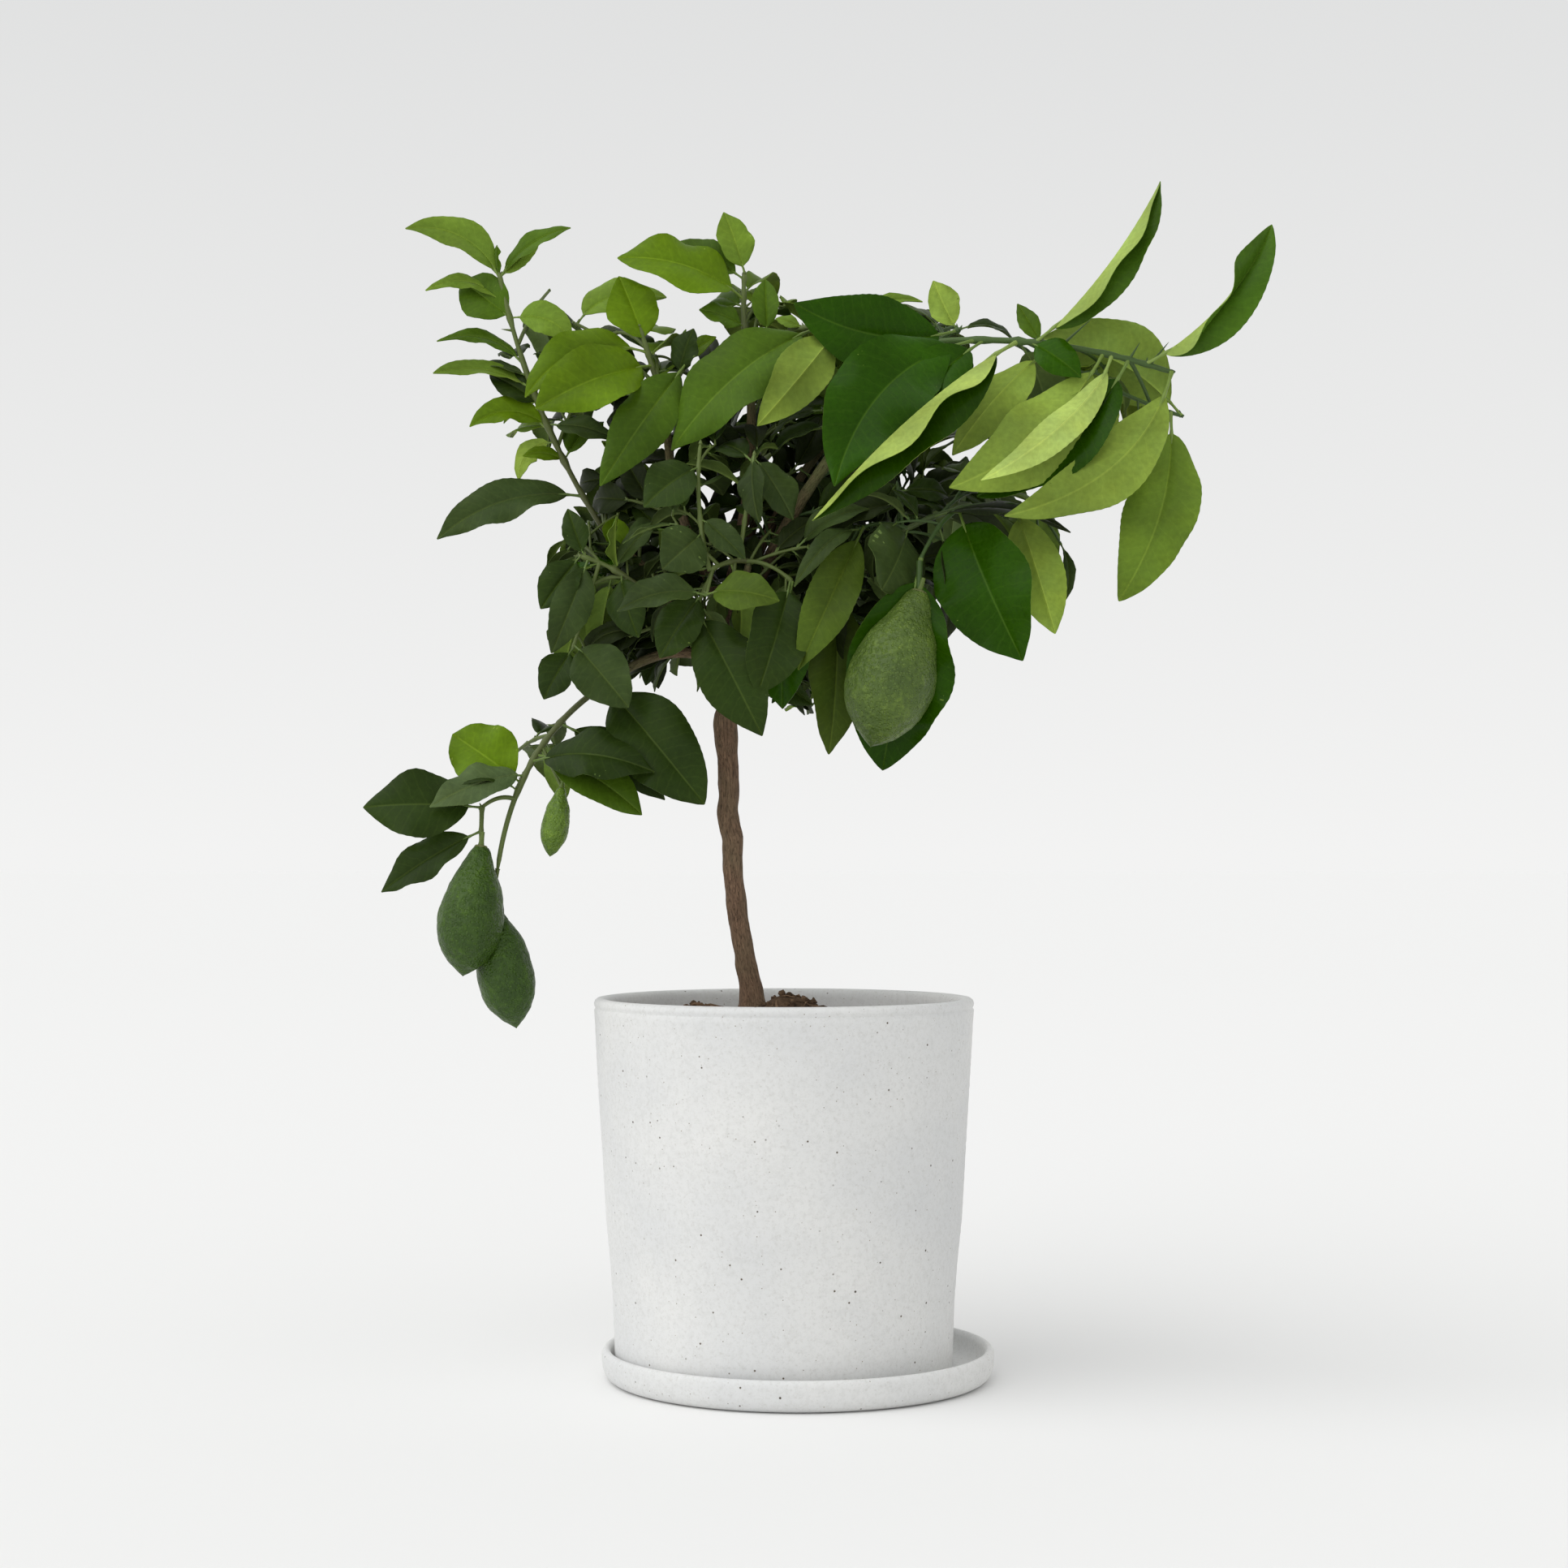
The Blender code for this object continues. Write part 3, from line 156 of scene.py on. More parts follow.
# A mass: its bough, its space as a centre and three half sizes, the length of its rule's leaves, how many
# twigs the rule adds to its stem, its shoots and its fruit.
Mass = namedtuple("Mass", "bough centre space leaf_length twigs shoots fruit", defaults=((),))
MASSES = {
    "foliage_left_high": Mass("bough_left_high", (-122, 40, 525), (32, 46, 62), 46, 2, (
        Shoot(None, 0, (-55, -5, 134), (-6, 0, -3), 1.5, (
            Leaf(0.14, (-77, -16, -24), "shade", 62, 0.08, 0.31, 30, 0.09),
            Leaf(0.29, (-22, -6, 2), "bright", 60, 0.05, 0.42, 0, 0.12),
            Leaf(0.37, (-20, 4, -20), "pale", 70, 0.05, 0.50, 0, 0.25),
            Leaf(0.42, (-42, -8, 0), "bright", 60, 0.08, 0.42, 0, 0.20),
            Leaf(0.43, (36, -6, -8), "shade", 50, 0.12, 0.42),
            Leaf(0.51, (-28, 8, 18), "dark", 60, 0.10, 0.50),
            Leaf(0.57, (-53, -8, 8), "light", 44, 0.05, 0.25, 50, 0.14),
            Leaf(0.63, (-31, 10, 8), "shade", 30, 0.05, 0.28),
            Leaf(0.67, (-46, -4, 12), "mid", 50, 0.06, 0.23, 0, 0.20),
            Leaf(0.84, (32, -8, -12), "light", 70, 0.08, 0.55, 0, -0.16),
            Leaf(0.88, (-43, -10, 8), "light", 50, 0.08, 0.25, 30, 0.24),
            Leaf(0.84, (-28, 6, 22), "mid", 75, 0.08, 0.75),
            Leaf(0.98, (-50, -8, 27), "light", 60, 0.06, 0.40, 0, 0.20),
            Leaf(1.00, (38, -6, 25), "mid", 60, 0.06, 0.28, 0, -0.10),
            Leaf(1.00, (-2, 4, 18), "mid", 80, 0.05, 0.60),
            Leaf(1.00, (20, 10, 22), "light", 80, 0.05, 0.30),
        ), 6),
    )),
    "foliage_upper_left": Mass("bough_upper_left", (-76, 46, 525), (40, 46, 46), 52, 2, (
        Shoot(None, 0, (-14, -6, 46), (0, 0, 0), 1.5, (
            Leaf(0.78, (-14, -2, 36), "bright", 80, 0.05, 0.75),
            Leaf(0.70, (-63, -16, -26), "bright", 56, 0.12, 0.38, 0, 0.14),
            Leaf(0.55, (-58, -36, -28), "bright", 62, 0.12, 0.52),
        ), 3),
        Shoot(0, 0.30, (-46, 18, 38), (0, 0, 4), 1.1, (
            Leaf(0.98, (48, 10, 16), "light", 50, 0.08, 0.52, 0, -0.16),
        ), 2),
        Shoot(0, 0.25, (15, -4, 16), (2, 0, 0), 1.1, (
            Leaf(0.60, (8, -4, 24), "dark", 80, 0.05, 0.75),
            Leaf(1.00, (-45, -20, -68), "mid", 70, 0.10, 0.36),
        )),
    )),
    "foliage_top": Mass("bough_top", (-14, 46, 550), (42, 46, 36), 46, 2, (
        Shoot(None, 0, (-1.5, 0, 41), (-1, 0, 0), 1.5, (
            Leaf(0.30, (-24, -8, 8), "mid", 60, 0.10, 0.60),
            Leaf(0.68, (-66, -16, 18), "bright", 58, 0.12, 0.52, 0, 0.02),
            Leaf(0.94, (-41, 12, 19), "mid", 60, 0.08, 0.46),
            Leaf(1.00, (-11, -2, 32), "light", 80, 0.06, 0.60),
        ), 4),
        Shoot(0, 0.12, (11, -5, 3), (0, 0, 0), 1.0, (
            Leaf(1.00, (-1, 5, 30), "mid", 15, 0.08, 0.50),
        )),
        Shoot(0, 0.04, (48, -20, 7), (0, 0, 4), 1.3, (
            Leaf(0.62, (-14, 4, 6), "light", 60, 0.10, 0.50),
            Leaf(0.80, (-77, -12, -66), "mid", 62, 0.16, 0.42),
            Leaf(1.00, (-42, -30, -56), "pale", 74, 0.12, 0.38),
        ), 3),
    )),
    "foliage_right_top": Mass("bough_right_top", (62, 46, 545), (52, 46, 28), 48, 2, (
        Shoot(None, 0, (30, -20, 17), (0, 0, 2), 1.5, (
            Leaf(0.95, (-86, -24, 10), "deep", 84, 0.04, 0.48, 0, -0.12),
            Leaf(0.95, (-12, 8, 28), "pale", 80, 0.05, 0.58),
            Leaf(1.00, (30, 8, -6), "dark", 30, 0.18, 0.40),
        ), 4),
        Shoot(0, 0.10, (-24, 6, 25), (0, 0, 0), 1.1, (
            Leaf(1.00, (33, 5, 10), "light", 50, 0.06, 0.28, 0, -0.16),
        ), 3),
    )),
    "foliage_right_long": Mass("bough_right_long", (140, 18, 505), (68, 50, 42), 58, 3, (
        Shoot(None, 0, (118, -6, -17), (0, 0, 6), 1.8, (
            Leaf(0.13, (-72, -24, -80), "deep", 60, 0.08, 0.44, 0, 0.12),
            Leaf(0.17, (-60, -20, -60), "deep", 62, 0.10, 0.42),
            Leaf(0.32, (-106, -44, -98), "strip", 58, 0.10, 0.28),
            Leaf(0.38, (25, -12, -20), "deep", 60, 0.10, 0.60),
            Leaf(0.43, (-12, 6, 22), "mid", 70, 0.06, 0.42),
            Leaf(0.41, (62, -12, 81), "folded", 50, 0.04, 0.30, 50, 0.13),
            Leaf(0.68, (-79, -26, -73), "pale", 66, 0.04, 0.38, 0, -0.12),
            Leaf(0.75, (-72, -40, -69), "palest", 50, 0.04, 0.19, 0, -0.09),
            Leaf(0.80, (-78, -12, -72), "deep", 64, 0.04, 0.32, 0, -0.12),
            Leaf(0.88, (64, -10, 70), "half_folded", 60, 0.04, 0.32, 50, 0.15),
            Leaf(1.00, (-88, -24, -77), "pale", 66, 0.04, 0.28, 0, -0.16),
        ), 4),
        Shoot(0, 0.38, (80, 12, -36), (0, 0, -3), 1.3, (
            Leaf(0.10, (-48, -2, -54), "pale", 62, 0.08, 0.42),
            Leaf(0.93, (-29, -16, -100), "light", 60, 0.04, 0.36, 0, -0.08),
            Leaf(1.00, (-72, 16, 43), "pale_back", -60, 0.10, 0.54, 0, -0.07),
        ), 3),
    )),
    "foliage_right_low": Mass("bough_right_low", (88, 16, 432), (60, 50, 42), 54, 2, (
        Shoot(None, 0, (58, -6, 12), (0, 0, 5), 1.6, (
            Leaf(0.02, (-14, -16, -34), "shade", 72, 0.06, 0.95),
            Leaf(0.25, (71, -14, -9), "dusk", 20, 0.12, 0.32),
            Leaf(0.50, (31, -26, -80), "deep", 74, 0.08, 0.60),
            Leaf(0.98, (20, -10, -67), "pale", 66, 0.10, 0.42),
        ), 4),
        Shoot(0, 0.48, (-20, -16, -28), (0, 0, 4), 1.3, (
            Leaf(0.40, (2, 14, -60), "dusk", 120, 0.10, 0.36),
            Leaf(0.96, (-19, 16, -108), "deep", 125, 0.08, 0.52),
        )),
        Shoot(1, 1.00, (-0.5, -3, -18), (0, 0, 0), 1.7),
        Shoot(0, 0.03, (-26, -6, -1), (0, 0, 3), 1.2, (
            Leaf(0.88, (-34, -20, -75), "olive", 62, 0.10, 0.32),
            Leaf(1.00, (-33, -26, -32), "shade", 40, 0.20, 0.24),
        ), 1),
        Shoot(3, 1.00, (-12, 10, -24), (0, 0, 0), 1.0, (
            Leaf(1.00, (-3, -2, -92), "olive", 20, 0.08, 0.34),
            Leaf(0.90, (-8, 10, -66), "dusk", 110, 0.08, 0.45),
        )),
        Shoot(0, 1.00, (23, 5, -19), (0, 0, 6), 0.9, (
            Leaf(1.00, (2, 0, -30), "dark", 60, 0.20, 0.25),
        )),
    ), (Fruit(2, (-25, -6, -79), 45),)),
    "foliage_front": Mass("bough_front", (-30, -16, 430), (56, 42, 62), 48, 2, (
        Shoot(None, 0, (-20, -12, -6), (0, 0, 2), 1.5, (), 2),
        Shoot(0, 0.90, (-9, 6, -20), (0, 0, 0), 1.1, (
            Leaf(1.00, (34, -14, -66), "dark", 66, 0.08, 0.48),
            Leaf(0.60, (-22, -6, -34), "dark", 64, 0.08, 0.60),
        ), 2),
        Shoot(0, 0.08, (24, -4, -11), (0, 0, 3), 1.2, (
            Leaf(0.95, (-17, -14, -60), "dark", 66, 0.08, 0.55),
            Leaf(1.00, (-5, 6, -65), "deep", 118, 0.08, 0.50),
        ), 2),
        Shoot(0, 0.25, (8, -6, 54), (0, 0, 0), 1.2, (
            Leaf(1.00, (3, -8, -36), "shade", 66, 0.08, 0.50),
            Leaf(0.98, (20, 4, -32), "shade", 66, 0.06, 0.62),
        ), 3),
        Shoot(0, 1.00, (-5, 8, 66), (-3, 0, 0), 1.3, (
            Leaf(0.30, (-20, -14, -20), "shade", 70, 0.06, 0.90),
            Leaf(0.42, (23, -8, -22), "shade", 66, 0.08, 0.46),
            Leaf(0.82, (-28, -10, -22), "dark", 60, 0.12, 0.75),
        ), 3),
        Shoot(0, 0.92, (-3, -7, -14), (0, 0, 0), 1.0, (
            Leaf(0.95, (37, -14, -5), "olive", 55, 0.12, 0.62),
            Leaf(1.00, (-45, -8, -9), "shade", 50, 0.16, 0.48),
        )),
    )),
    "foliage_left_mid": Mass("bough_left_mid", (-94, 24, 408), (36, 46, 50), 44, 2, (
        Shoot(None, 0, (-36, -4, 20), (0, 0, 3), 1.4, (
            Leaf(0.45, (10, -12, -34), "dark", 68, 0.08, 0.62),
            Leaf(0.50, (0, -8, 28), "mid", 80, 0.05, 0.60),
            Leaf(0.55, (22, 6, 26), "shade", 50, 0.08, 0.36),
            Leaf(0.90, (-18, -14, -50), "shade", 68, 0.08, 0.40),
            Leaf(0.95, (-9, 6, 26), "dark", 60, 0.08, 0.50),
            Leaf(1.00, (-20, -8, -28), "dark", 66, 0.08, 0.60),
        ), 4),
        Shoot(0, 0.75, (-14, 4, -44), (0, 0, 0), 1.1, (
            Leaf(0.95, (29, -14, -34), "shade", 64, 0.08, 0.66),
            Leaf(1.00, (-15, -4, -27), "dark", 64, 0.08, 0.66),
        ), 2),
    )),
    "foliage_left_low": Mass("bough_left_low", (-110, 20, 332), (46, 46, 32), 50, 2, (
        Shoot(None, 0, (-57, -12, -98), (-10, 0, 9), 1.7, (
            Leaf(0.02, (53, -22, -63), "dark", 66, 0.08, 0.50),
            Leaf(0.28, (54, 8, -40), "dark", 60, 0.08, 0.40),
            Leaf(0.45, (54, -10, -32), "mid", 50, 0.12, 0.46),
            Leaf(0.50, (64, -20, -5), "dark", 55, 0.18, 0.46),
            Leaf(0.55, (-49, -20, -18), "sage", 48, 0.10, 0.42),
            Leaf(0.60, (-38, 12, 26), "bright", 72, 0.06, 0.78),
            Leaf(0.64, (-36, -12, 0), "dark", 40, 0.22, 0.22),
        ), 3),
        Shoot(0, 0.68, (-18, -4, -5), (0, 0, 3), 1.3, (
            Leaf(0.95, (-61, -6, 0), "dark", 70, 0.08, 0.62),
        )),
        Shoot(1, 0.95, (0, -6, -22), (0, 0, 0), 1.3, (
            Leaf(0.55, (-53, 8, -32), "dark", 66, 0.06, 0.38),
        )),
        Shoot(0, 1.00, (-4, 4, -20), (0, 0, 0), 1.2),
        Shoot(0, 0.42, (11, -8, -22), (0, 0, 0), 1.0),
    ), (
        Fruit(2, (-9, -3, -67), 34),
        Fruit(3, (13, 2, -65), 30),
        Fruit(4, (-6, -2, -36), 14.4),
    )),
    "foliage_back_left": Mass("bough_back_left", (-78, 88, 440), (52, 66, 68), 54, 7, (
        Shoot(None, 0, (-22, 30, 34), (0, 4, 4), 1.6, (), 8),
    )),
    "foliage_back_right": Mass("bough_back_right", (80, 92, 468), (64, 66, 58), 58, 8, (
        Shoot(None, 0, (34, 26, 20), (0, 4, 6), 1.6, (), 8),
    )),
    "foliage_back_top": Mass("bough_back_top", (4, 82, 512), (62, 64, 50), 56, 8, (
        Shoot(None, 0, (6, 24, 34), (0, 4, 0), 1.6, (), 8),
    )),
    "foliage_back_low": Mass("bough_back_low", (20, 88, 402), (62, 64, 50), 56, 8, (
        Shoot(None, 0, (18, 28, -8), (0, 4, 4), 1.6, (), 8),
    )),
}

# The rule for what isn't listed. A mass whose centre is nearer than FRONT_DEPTH is filled from behind.
SEED = 41
FRONT_DEPTH = 60
BACKWARD = 0.6
TWIG_SHARE = 0.62
TWIG_REACH = (26.0, 52.0)
TWIG_BOW = (0, 0, 3)
TWIGS_ALONG = (0.15, 0.95)
LEAVES_ALONG = (0.2, 1.0)
LEAF_LATE = 0.7
LEAF_LEAN = (-25, 40)
LEAF_ARCH = (0.06, 0.2)
LEAF_WIDE = (0.40, 0.50)
LEAF_TWIST = (-20, 20)
TWIG_SPREAD = math.radians(52)
LEAF_SPREAD = math.radians(58)
DROOP = 0.35
TURNS = (0, 35, -35, 70, -70, 110, -110)

# How far back or forward the tip of a listed leaf is tried until it is clear
DEPTH_STEPS = (0, -14, 14, -28, 28, -42, 42)

# Leaf shape
STALK_SHARE = 0.11
STALK_HALF = 0.5
LEAF_STATIONS = (0.25, 0.62)
LEAF_BROADEST = 0.80
LEAF_FULL = 0.85
LEAF_THICKNESS = 0.016
THINNEST_LEAF = 1.0
NEARLY_UPRIGHT = 0.05

# Lemon shape: the share of its length from the stalk, and its radius as a share of half its width
LEMON_PROFILE = (
    (0.0, 0.22), (0.05, 0.34), (0.15, 0.50), (0.32, 0.82), (0.55, 1.0),
    (0.75, 0.90), (0.89, 0.55), (0.96, 0.24), (1.0, 0.0),
)
STALK_IN_LEMON = 1.5
LEMON_CORE = 0.42

# Colours are sRGB from 0 to 255. A tone has the upper side's and the underside's colour, the upper side's
# roughness, and which side a listed leaf turns to the camera.
Tone = namedtuple("Tone", "upper lower rough under", defaults=(0.38, False))
TONES = {
    "deep": Tone((38, 73, 0), (104, 130, 54), 0.28),
    "dark": Tone((40, 57, 18), (84, 104, 50), 0.36),
    # shade: the leaves' dark green with a painted grey sheen and painted shade
    "shade": Tone((54, 70, 34), (92, 112, 62), 0.42),
    # shadowed: painted shade, the crown's shadow on the leaves under it darkened into their colour
    "dusk": Tone((36, 46, 20), (62, 76, 40), 0.48),
    "mid": Tone((70, 98, 22), (106, 130, 54)),
    "bright": Tone((86, 114, 14), (120, 142, 52)),
    "light": Tone((104, 132, 44), (130, 154, 70), 0.42),
    "pale": Tone((52, 86, 14), (126, 150, 62), 0.38, True),
    "palest": Tone((52, 86, 14), (172, 196, 104), 0.38, True),
    "pale_back": Tone((52, 86, 14), (130, 156, 70)),
    "folded": Tone((66, 100, 24), (150, 174, 88), 0.36),
    "half_folded": Tone((66, 100, 24), (150, 174, 88), 0.36),
    "strip": Tone((36, 66, 0), (156, 178, 90), 0.30),
    "olive": Tone((70, 90, 28), (94, 112, 44), 0.46),
    "sage": Tone((76, 94, 58), (102, 120, 74), 0.48),
}

# The tones that the rule deals out, for masses at the front, high up and at the back, and for leaves of the
# inner twigs. The front and inner sets lean to the shadowed tone, painted shade of the crown over those
# leaves, and every set holds the shade tone with its painted sheen and shade.
RULED_TONES = {
    "front": ("dark", "shade", "dusk", "dark", "dusk", "deep"),
    "high": ("mid", "shade", "dark", "light", "mid", "bright"),
    "back": ("dark", "deep", "mid", "shade", "dark", "olive"),
    "inner": ("dusk", "dark", "dusk", "shade", "dusk"),
}
HIGH_ABOVE = 500

# How far each half of a blade is folded up from its midrib, at its base and at its tip, in degrees, and
# how much more that may be for a listed leaf and for one of the rule
PLAIN_FOLD = ((15, 10), (15, 10))
FOLD_VARIES = (10, 24)
FOLDS = {
    "folded": ((156, 184), (-16, -30)),
    "half_folded": ((176, 84), (-12, -22)),
    "strip": ((10, 6), (146, 132)),
}

# Leaf blades: their steps along and across, their curl and waves, and half the gap between their sheets
BLADE_STEP = 2.2
BLADE_STATIONS = (12, 54)
BLADE_COLUMNS = np.array([0.0, 0.05, 0.27, 0.52, 0.77, 1.0])
BLADE_BEND = np.array([0.5, 1.0, 1.0, 1.0, 1.0])
BLADE_CURL = np.radians([0.0, 1.0, 4.0, 9.0, 14.0])
CURL_VARIES = (0.4, 2.4)
WAVE_VARIES = (0.15, 0.45)
WAVE_COUNT = (1.4, 2.6)
TIP_DROOPS = (-0.02, 0.10)
SHEET_HALF = 0.16
TONE_VARIES = 0.10
LOWER_ROUGH = 0.55

# Veins, and the midrib: how far it stands out below, and the groove over it as a share of that
VEIN_SPACING = 8.5
VEIN_SWEEP = 1.5
VEIN_RELIEF = 0.24
RIB_DEPTH = 0.75
RIB_AT_TIP = 0.08
RIB_GROOVE = 0.45

# A blade's outline, with its drawn-out tip, its teeth and its unevenness
OUTLINE_BROADEST = 0.86
OUTLINE_FULL = (0.70, 0.86)
TIP_PINCH = (0.0, 0.18)
TIP_PINCH_AT = 0.955
TIP_PINCH_HALF = 0.045
TEETH = 0.13
UNEVEN = 0.035
UNEVEN_WAVES = 1.4
NARROWEST_HALF = 0.32

# Leaf stalks: how far they reach into the blade, and their radii from the twig on for a leaf of one length
STALK_SIDES = 8
STALK_OVERLAP = 1.5
STALK_RADII = (1.25, 0.85, 0.72, 0.70, 0.95, 0.62, 0.3)
STALK_RADII_LEAF = 80
STALK_ROUGH = 0.45

# Twigs, with the swelling at each leaf's joint
TWIG_SIDES = 10
TWIG_STATIONS = 28
FINE_STATIONS = 12
TWIG_END = 0.6
TWIG_ROUGH = 0.5
JOINT_SWELL = 0.28
JOINT_HALF = 1.7
STEM_INSIDE = 0.15
SEAT_REACH = 2.5
SAME_IN_SPRAY = 0.55

# A growth of the rule's twigs: how far they reach, how thick they are, how many leaves each carries, how
# long those are, how far their upper sides lean to the camera, and how much they droop. The first twigs'
# reach and leaf length are shares of their mass's own. The finer ones carry the rule one step on.
Growth = namedtuple("Growth", "reach thick leaves length lean droop")
FIRST = Growth((0.8, 1.1), 1.1, 4, (0.8, 1.15), LEAF_LEAN, DROOP)
FINE = Growth((14.0, 24.0), 0.7, 3, (20.0, 34.0), LEAF_LEAN, DROOP)
FINE_ALONG = (0.35, 0.85)
FINE_BOW = (0, 0, 1.5)
FINE_LEAVES_ALONG = (0.3, 1.0)
FINE_LEAF_LATE = 0.9
INNER = Growth((16.0, 40.0), 0.9, 5, (28.0, 48.0), (40, 85), 0.7)
INNER_ALONG = (0.2, 0.32, 0.44, 0.56, 0.68, 0.8, 0.92, 1.0)
INNER_ROUNDS = 3

# The masses that get no finer twigs
LEFT_OPEN = ("foliage_left_low",)

# Where the photo shows leaves right through the crown: ovals in the plane of the trunk as the camera
# sees it, each with its centre and its half sizes across and up
DENSE = (
    ((-44, 442), (60, 80)), ((72, 447), (52, 36)), ((8, 402), (44, 52)), ((-82, 372), (24, 40)),
    ((18, 465), (45, 50)),
)

# The green of twigs in masses to the left and to the right of a place, the brown of older ones, and the
# green that bark turns to
GREEN_SHOOT = ((92, 108, 50), (62, 88, 36))
GREEN_RIGHT_OF = 0
BROWN_SHOOT = (84, 76, 48)
GREEN_BARK = (72, 98, 42)

# Fruit, in the order of the masses
FRUIT_TONES = ((66, 86, 34), (46, 70, 16), (44, 68, 16), (80, 106, 36))
LEMON_RING = 72
LEMON_SPAN = 12

# A fruit's stalk: its colour, and its height above the fruit's top with its radius there
FRUIT_STALK = (96, 116, 48)
FRUIT_STALK_ROWS = ((-1.5, 2.1), (0.5, 1.9), (2.5, 1.45), (5.0, 1.2), (8.0, 1.05))

# A calyx: its colour, its size as a share of the fruit's width, and its rows, each as how far out and up
CALYX = (104, 112, 62)
CALYX_ROUGH = 0.6
CALYX_SHARE = 0.105
CALYX_STEPS = 40
CALYX_ROWS = ((0.45, 1.1), (0.8, 0.9), (1.0, 0.35), (0.98, -0.1), (0.7, -0.35), (0.2, -0.4))

# Wood: how fine its skin is, the collar where a bough leaves the trunk, and how deep the trunk's foot is
WOOD_VOXEL = 0.8
WOOD_SOFTENED = 4
LIMB_SIDES = 16
BOUGH_STATIONS = 20
COLLAR_DROP = 5.0
COLLAR_SWELL = 1.25
FOOT_SUNK = 7.0

# Turned vessels: their steps, their unevenness in percent, and the height where their throwing rings start
TURNED_FINE = 192
POT_WOBBLE = 0.35
SAUCER_WOBBLE = 0.3
THROWN_FROM = 12.0

# Loose soil, which sinks by a little from one distance on, over another
SOIL_RINGS = 64
SOIL_STEPS = 220
SOIL_SUNK = 4.5
SOIL_SINKS_FROM = -5
SOIL_SINKS_OVER = 35
CLEAR_OF_TRUNK = 11

# Crumbs and fibres on the soil, their shades as shares of the peat's own
SOIL_CRUMBS = 900
CRUMB_SIZE = (0.8, 2.6)
CRUMB_RINGS = 5
CRUMB_STEPS = 7
CRUMB_SHADE = (0.6, 1.5)
SOIL_FIBRES = 260
FIBRE_LENGTH = (6, 20)
FIBRE_BEND = 0.8
FIBRE_THICK = (0.35, 0.5, 0.9, 1.3)
FIBRE_SHADE = (1.0, 2.6)

# The materials' own colours
VEIN_COLOUR = (150, 172, 84)
STALK_GREEN = (104, 130, 52)
BARK_DARK = (84, 65, 49)
BARK_LIGHT = (136, 109, 87)
BARK_PATCH = (112, 104, 78)
BARK_CRACK = (44, 34, 26)
BARK_LENTICEL = (138, 118, 92)
GLAZE_DULL = (214, 215, 215)
GLAZE_BRIGHT = (225, 225, 223)
GLAZE_GRAIN = (188, 188, 184)
GLAZE_DUST = (178, 175, 168)
PEAT_DARK = (62, 48, 36)
PEAT_LIGHT = (98, 78, 60)
PEAT_DUST = (134, 112, 88)

# Iron specks in the glaze: how close their cells are, how much of one a speck fills, and its colour
SPECKS = ((150, 0.10, (92, 80, 66)), (300, 0.11, (140, 130, 116)), (80, 0.06, (70, 58, 46)))

# Small sprigs listed one by one, each from the nearest point of its mass's twigs: its tip and its leaves
Sprig = namedtuple("Sprig", "mass tip leaves")
SPRIGS = (
    Sprig("foliage_left_mid", (-88, 6, 456), (
        Leaf(1.00, (-3, -4, -19), "bright", 60, 0.06, 0.80),
    )),
    Sprig("foliage_left_mid", (-104, 10, 424), (
        Leaf(0.50, (-13, -4, -13), "shade", 60, 0.06, 0.60),
        Leaf(1.00, (-8, -4, -24), "mid", 60, 0.06, 0.55),
    )),
    Sprig("foliage_upper_left", (-84, 16, 484), (
        Leaf(0.60, (15, -4, 13), "shade", 60, 0.06, 0.50),
        Leaf(1.00, (16, -5, -9), "light", 60, 0.06, 0.46),
        Leaf(1.00, (-13, -4, 12), "light", 60, 0.06, 0.60),
    )),
    Sprig("foliage_upper_left", (-57, 14, 537), (
        Leaf(1.00, (21, -4, 14), "bright", 60, 0.06, 0.52),
        Leaf(1.00, (5, -4, 18), "mid", 60, 0.06, 0.55),
    )),
    Sprig("foliage_front", (4, 0, 400), (
        Leaf(0.70, (-14, -8, -38), "shade", 60, 0.10, 0.46),
        Leaf(1.00, (22, -8, -32), "dark", 60, 0.10, 0.46),
    )),
)
SPRIG_THICK = 0.8

# The masses whose leaves are joined into one piece, by what that piece's name ends with
REGIONS = {
    "left": ("foliage_left_high", "foliage_left_mid", "foliage_left_low"),
    "top": ("foliage_upper_left", "foliage_top", "foliage_right_top"),
    "right": ("foliage_right_long", "foliage_right_low"),
    "front": ("foliage_front",),
    "back_low": ("foliage_back_left", "foliage_back_low"),
    "back_high": ("foliage_back_right", "foliage_back_top"),
}

# The camera, calibrated on the pot's rim and the saucer
EYE = Vector((0, -1477, 277))
LENS = 64.29
SHIFT_UP = 0.044
SENSOR = 36
CAMERA_CLIP = (0.05, 200)

# Thorns: the mass, its shoot, the place along it, and how far the thorn's tip lies from there
THORNS = (
    ("foliage_right_long", 0, 0.51, (16, -4, 14)),
    ("foliage_right_long", 0, 0.81, (5.5, -3, 9)),
    ("foliage_right_long", 0, 0.90, (10, -3, 12)),
    ("foliage_right_long", 1, 0.72, (0, -2, -8)),
    ("foliage_left_high", 0, 0.80, (-7, -2, 0.5)),
    ("foliage_top", 0, 0.55, (5, -2, 4)),
    ("foliage_left_low", 0, 0.30, (-6, -1, 1)),
)
THORN_THICK = 0.85

# A thorn or bud, as places along it and the radius there as a share of its thickness
SPIKE = ((0, 1.0), (0.35, 0.8), (0.7, 0.5), (0.92, 0.22), (1.0, 0.06))
SPIKE_SIDES = 7
BUD_LENGTH = 2.6
BUD_THICK = 0.8

# The floor and the light. Each is a plain number or colour in linear light.
FLOOR_REACH = 40.0
FLOOR_TONES = (0.88, 0.868)
FLOOR_FADE = (0.5, 5.0)
WORLD_LOW = (0.895, 0.895, 0.89)
WORLD_HIGH = (0.72, 0.725, 0.725)
WORLD_HEIGHTS = (0.0, 0.35)
LAMP_STRENGTH = 1.35
LAMP_SOFTNESS = 75
LAMP_WAY = (0.62, 0.42, -0.75)


def round_steps(steps):
    """Even angles round a circle."""
    return [2 * math.pi * step / steps for step in range(steps)]


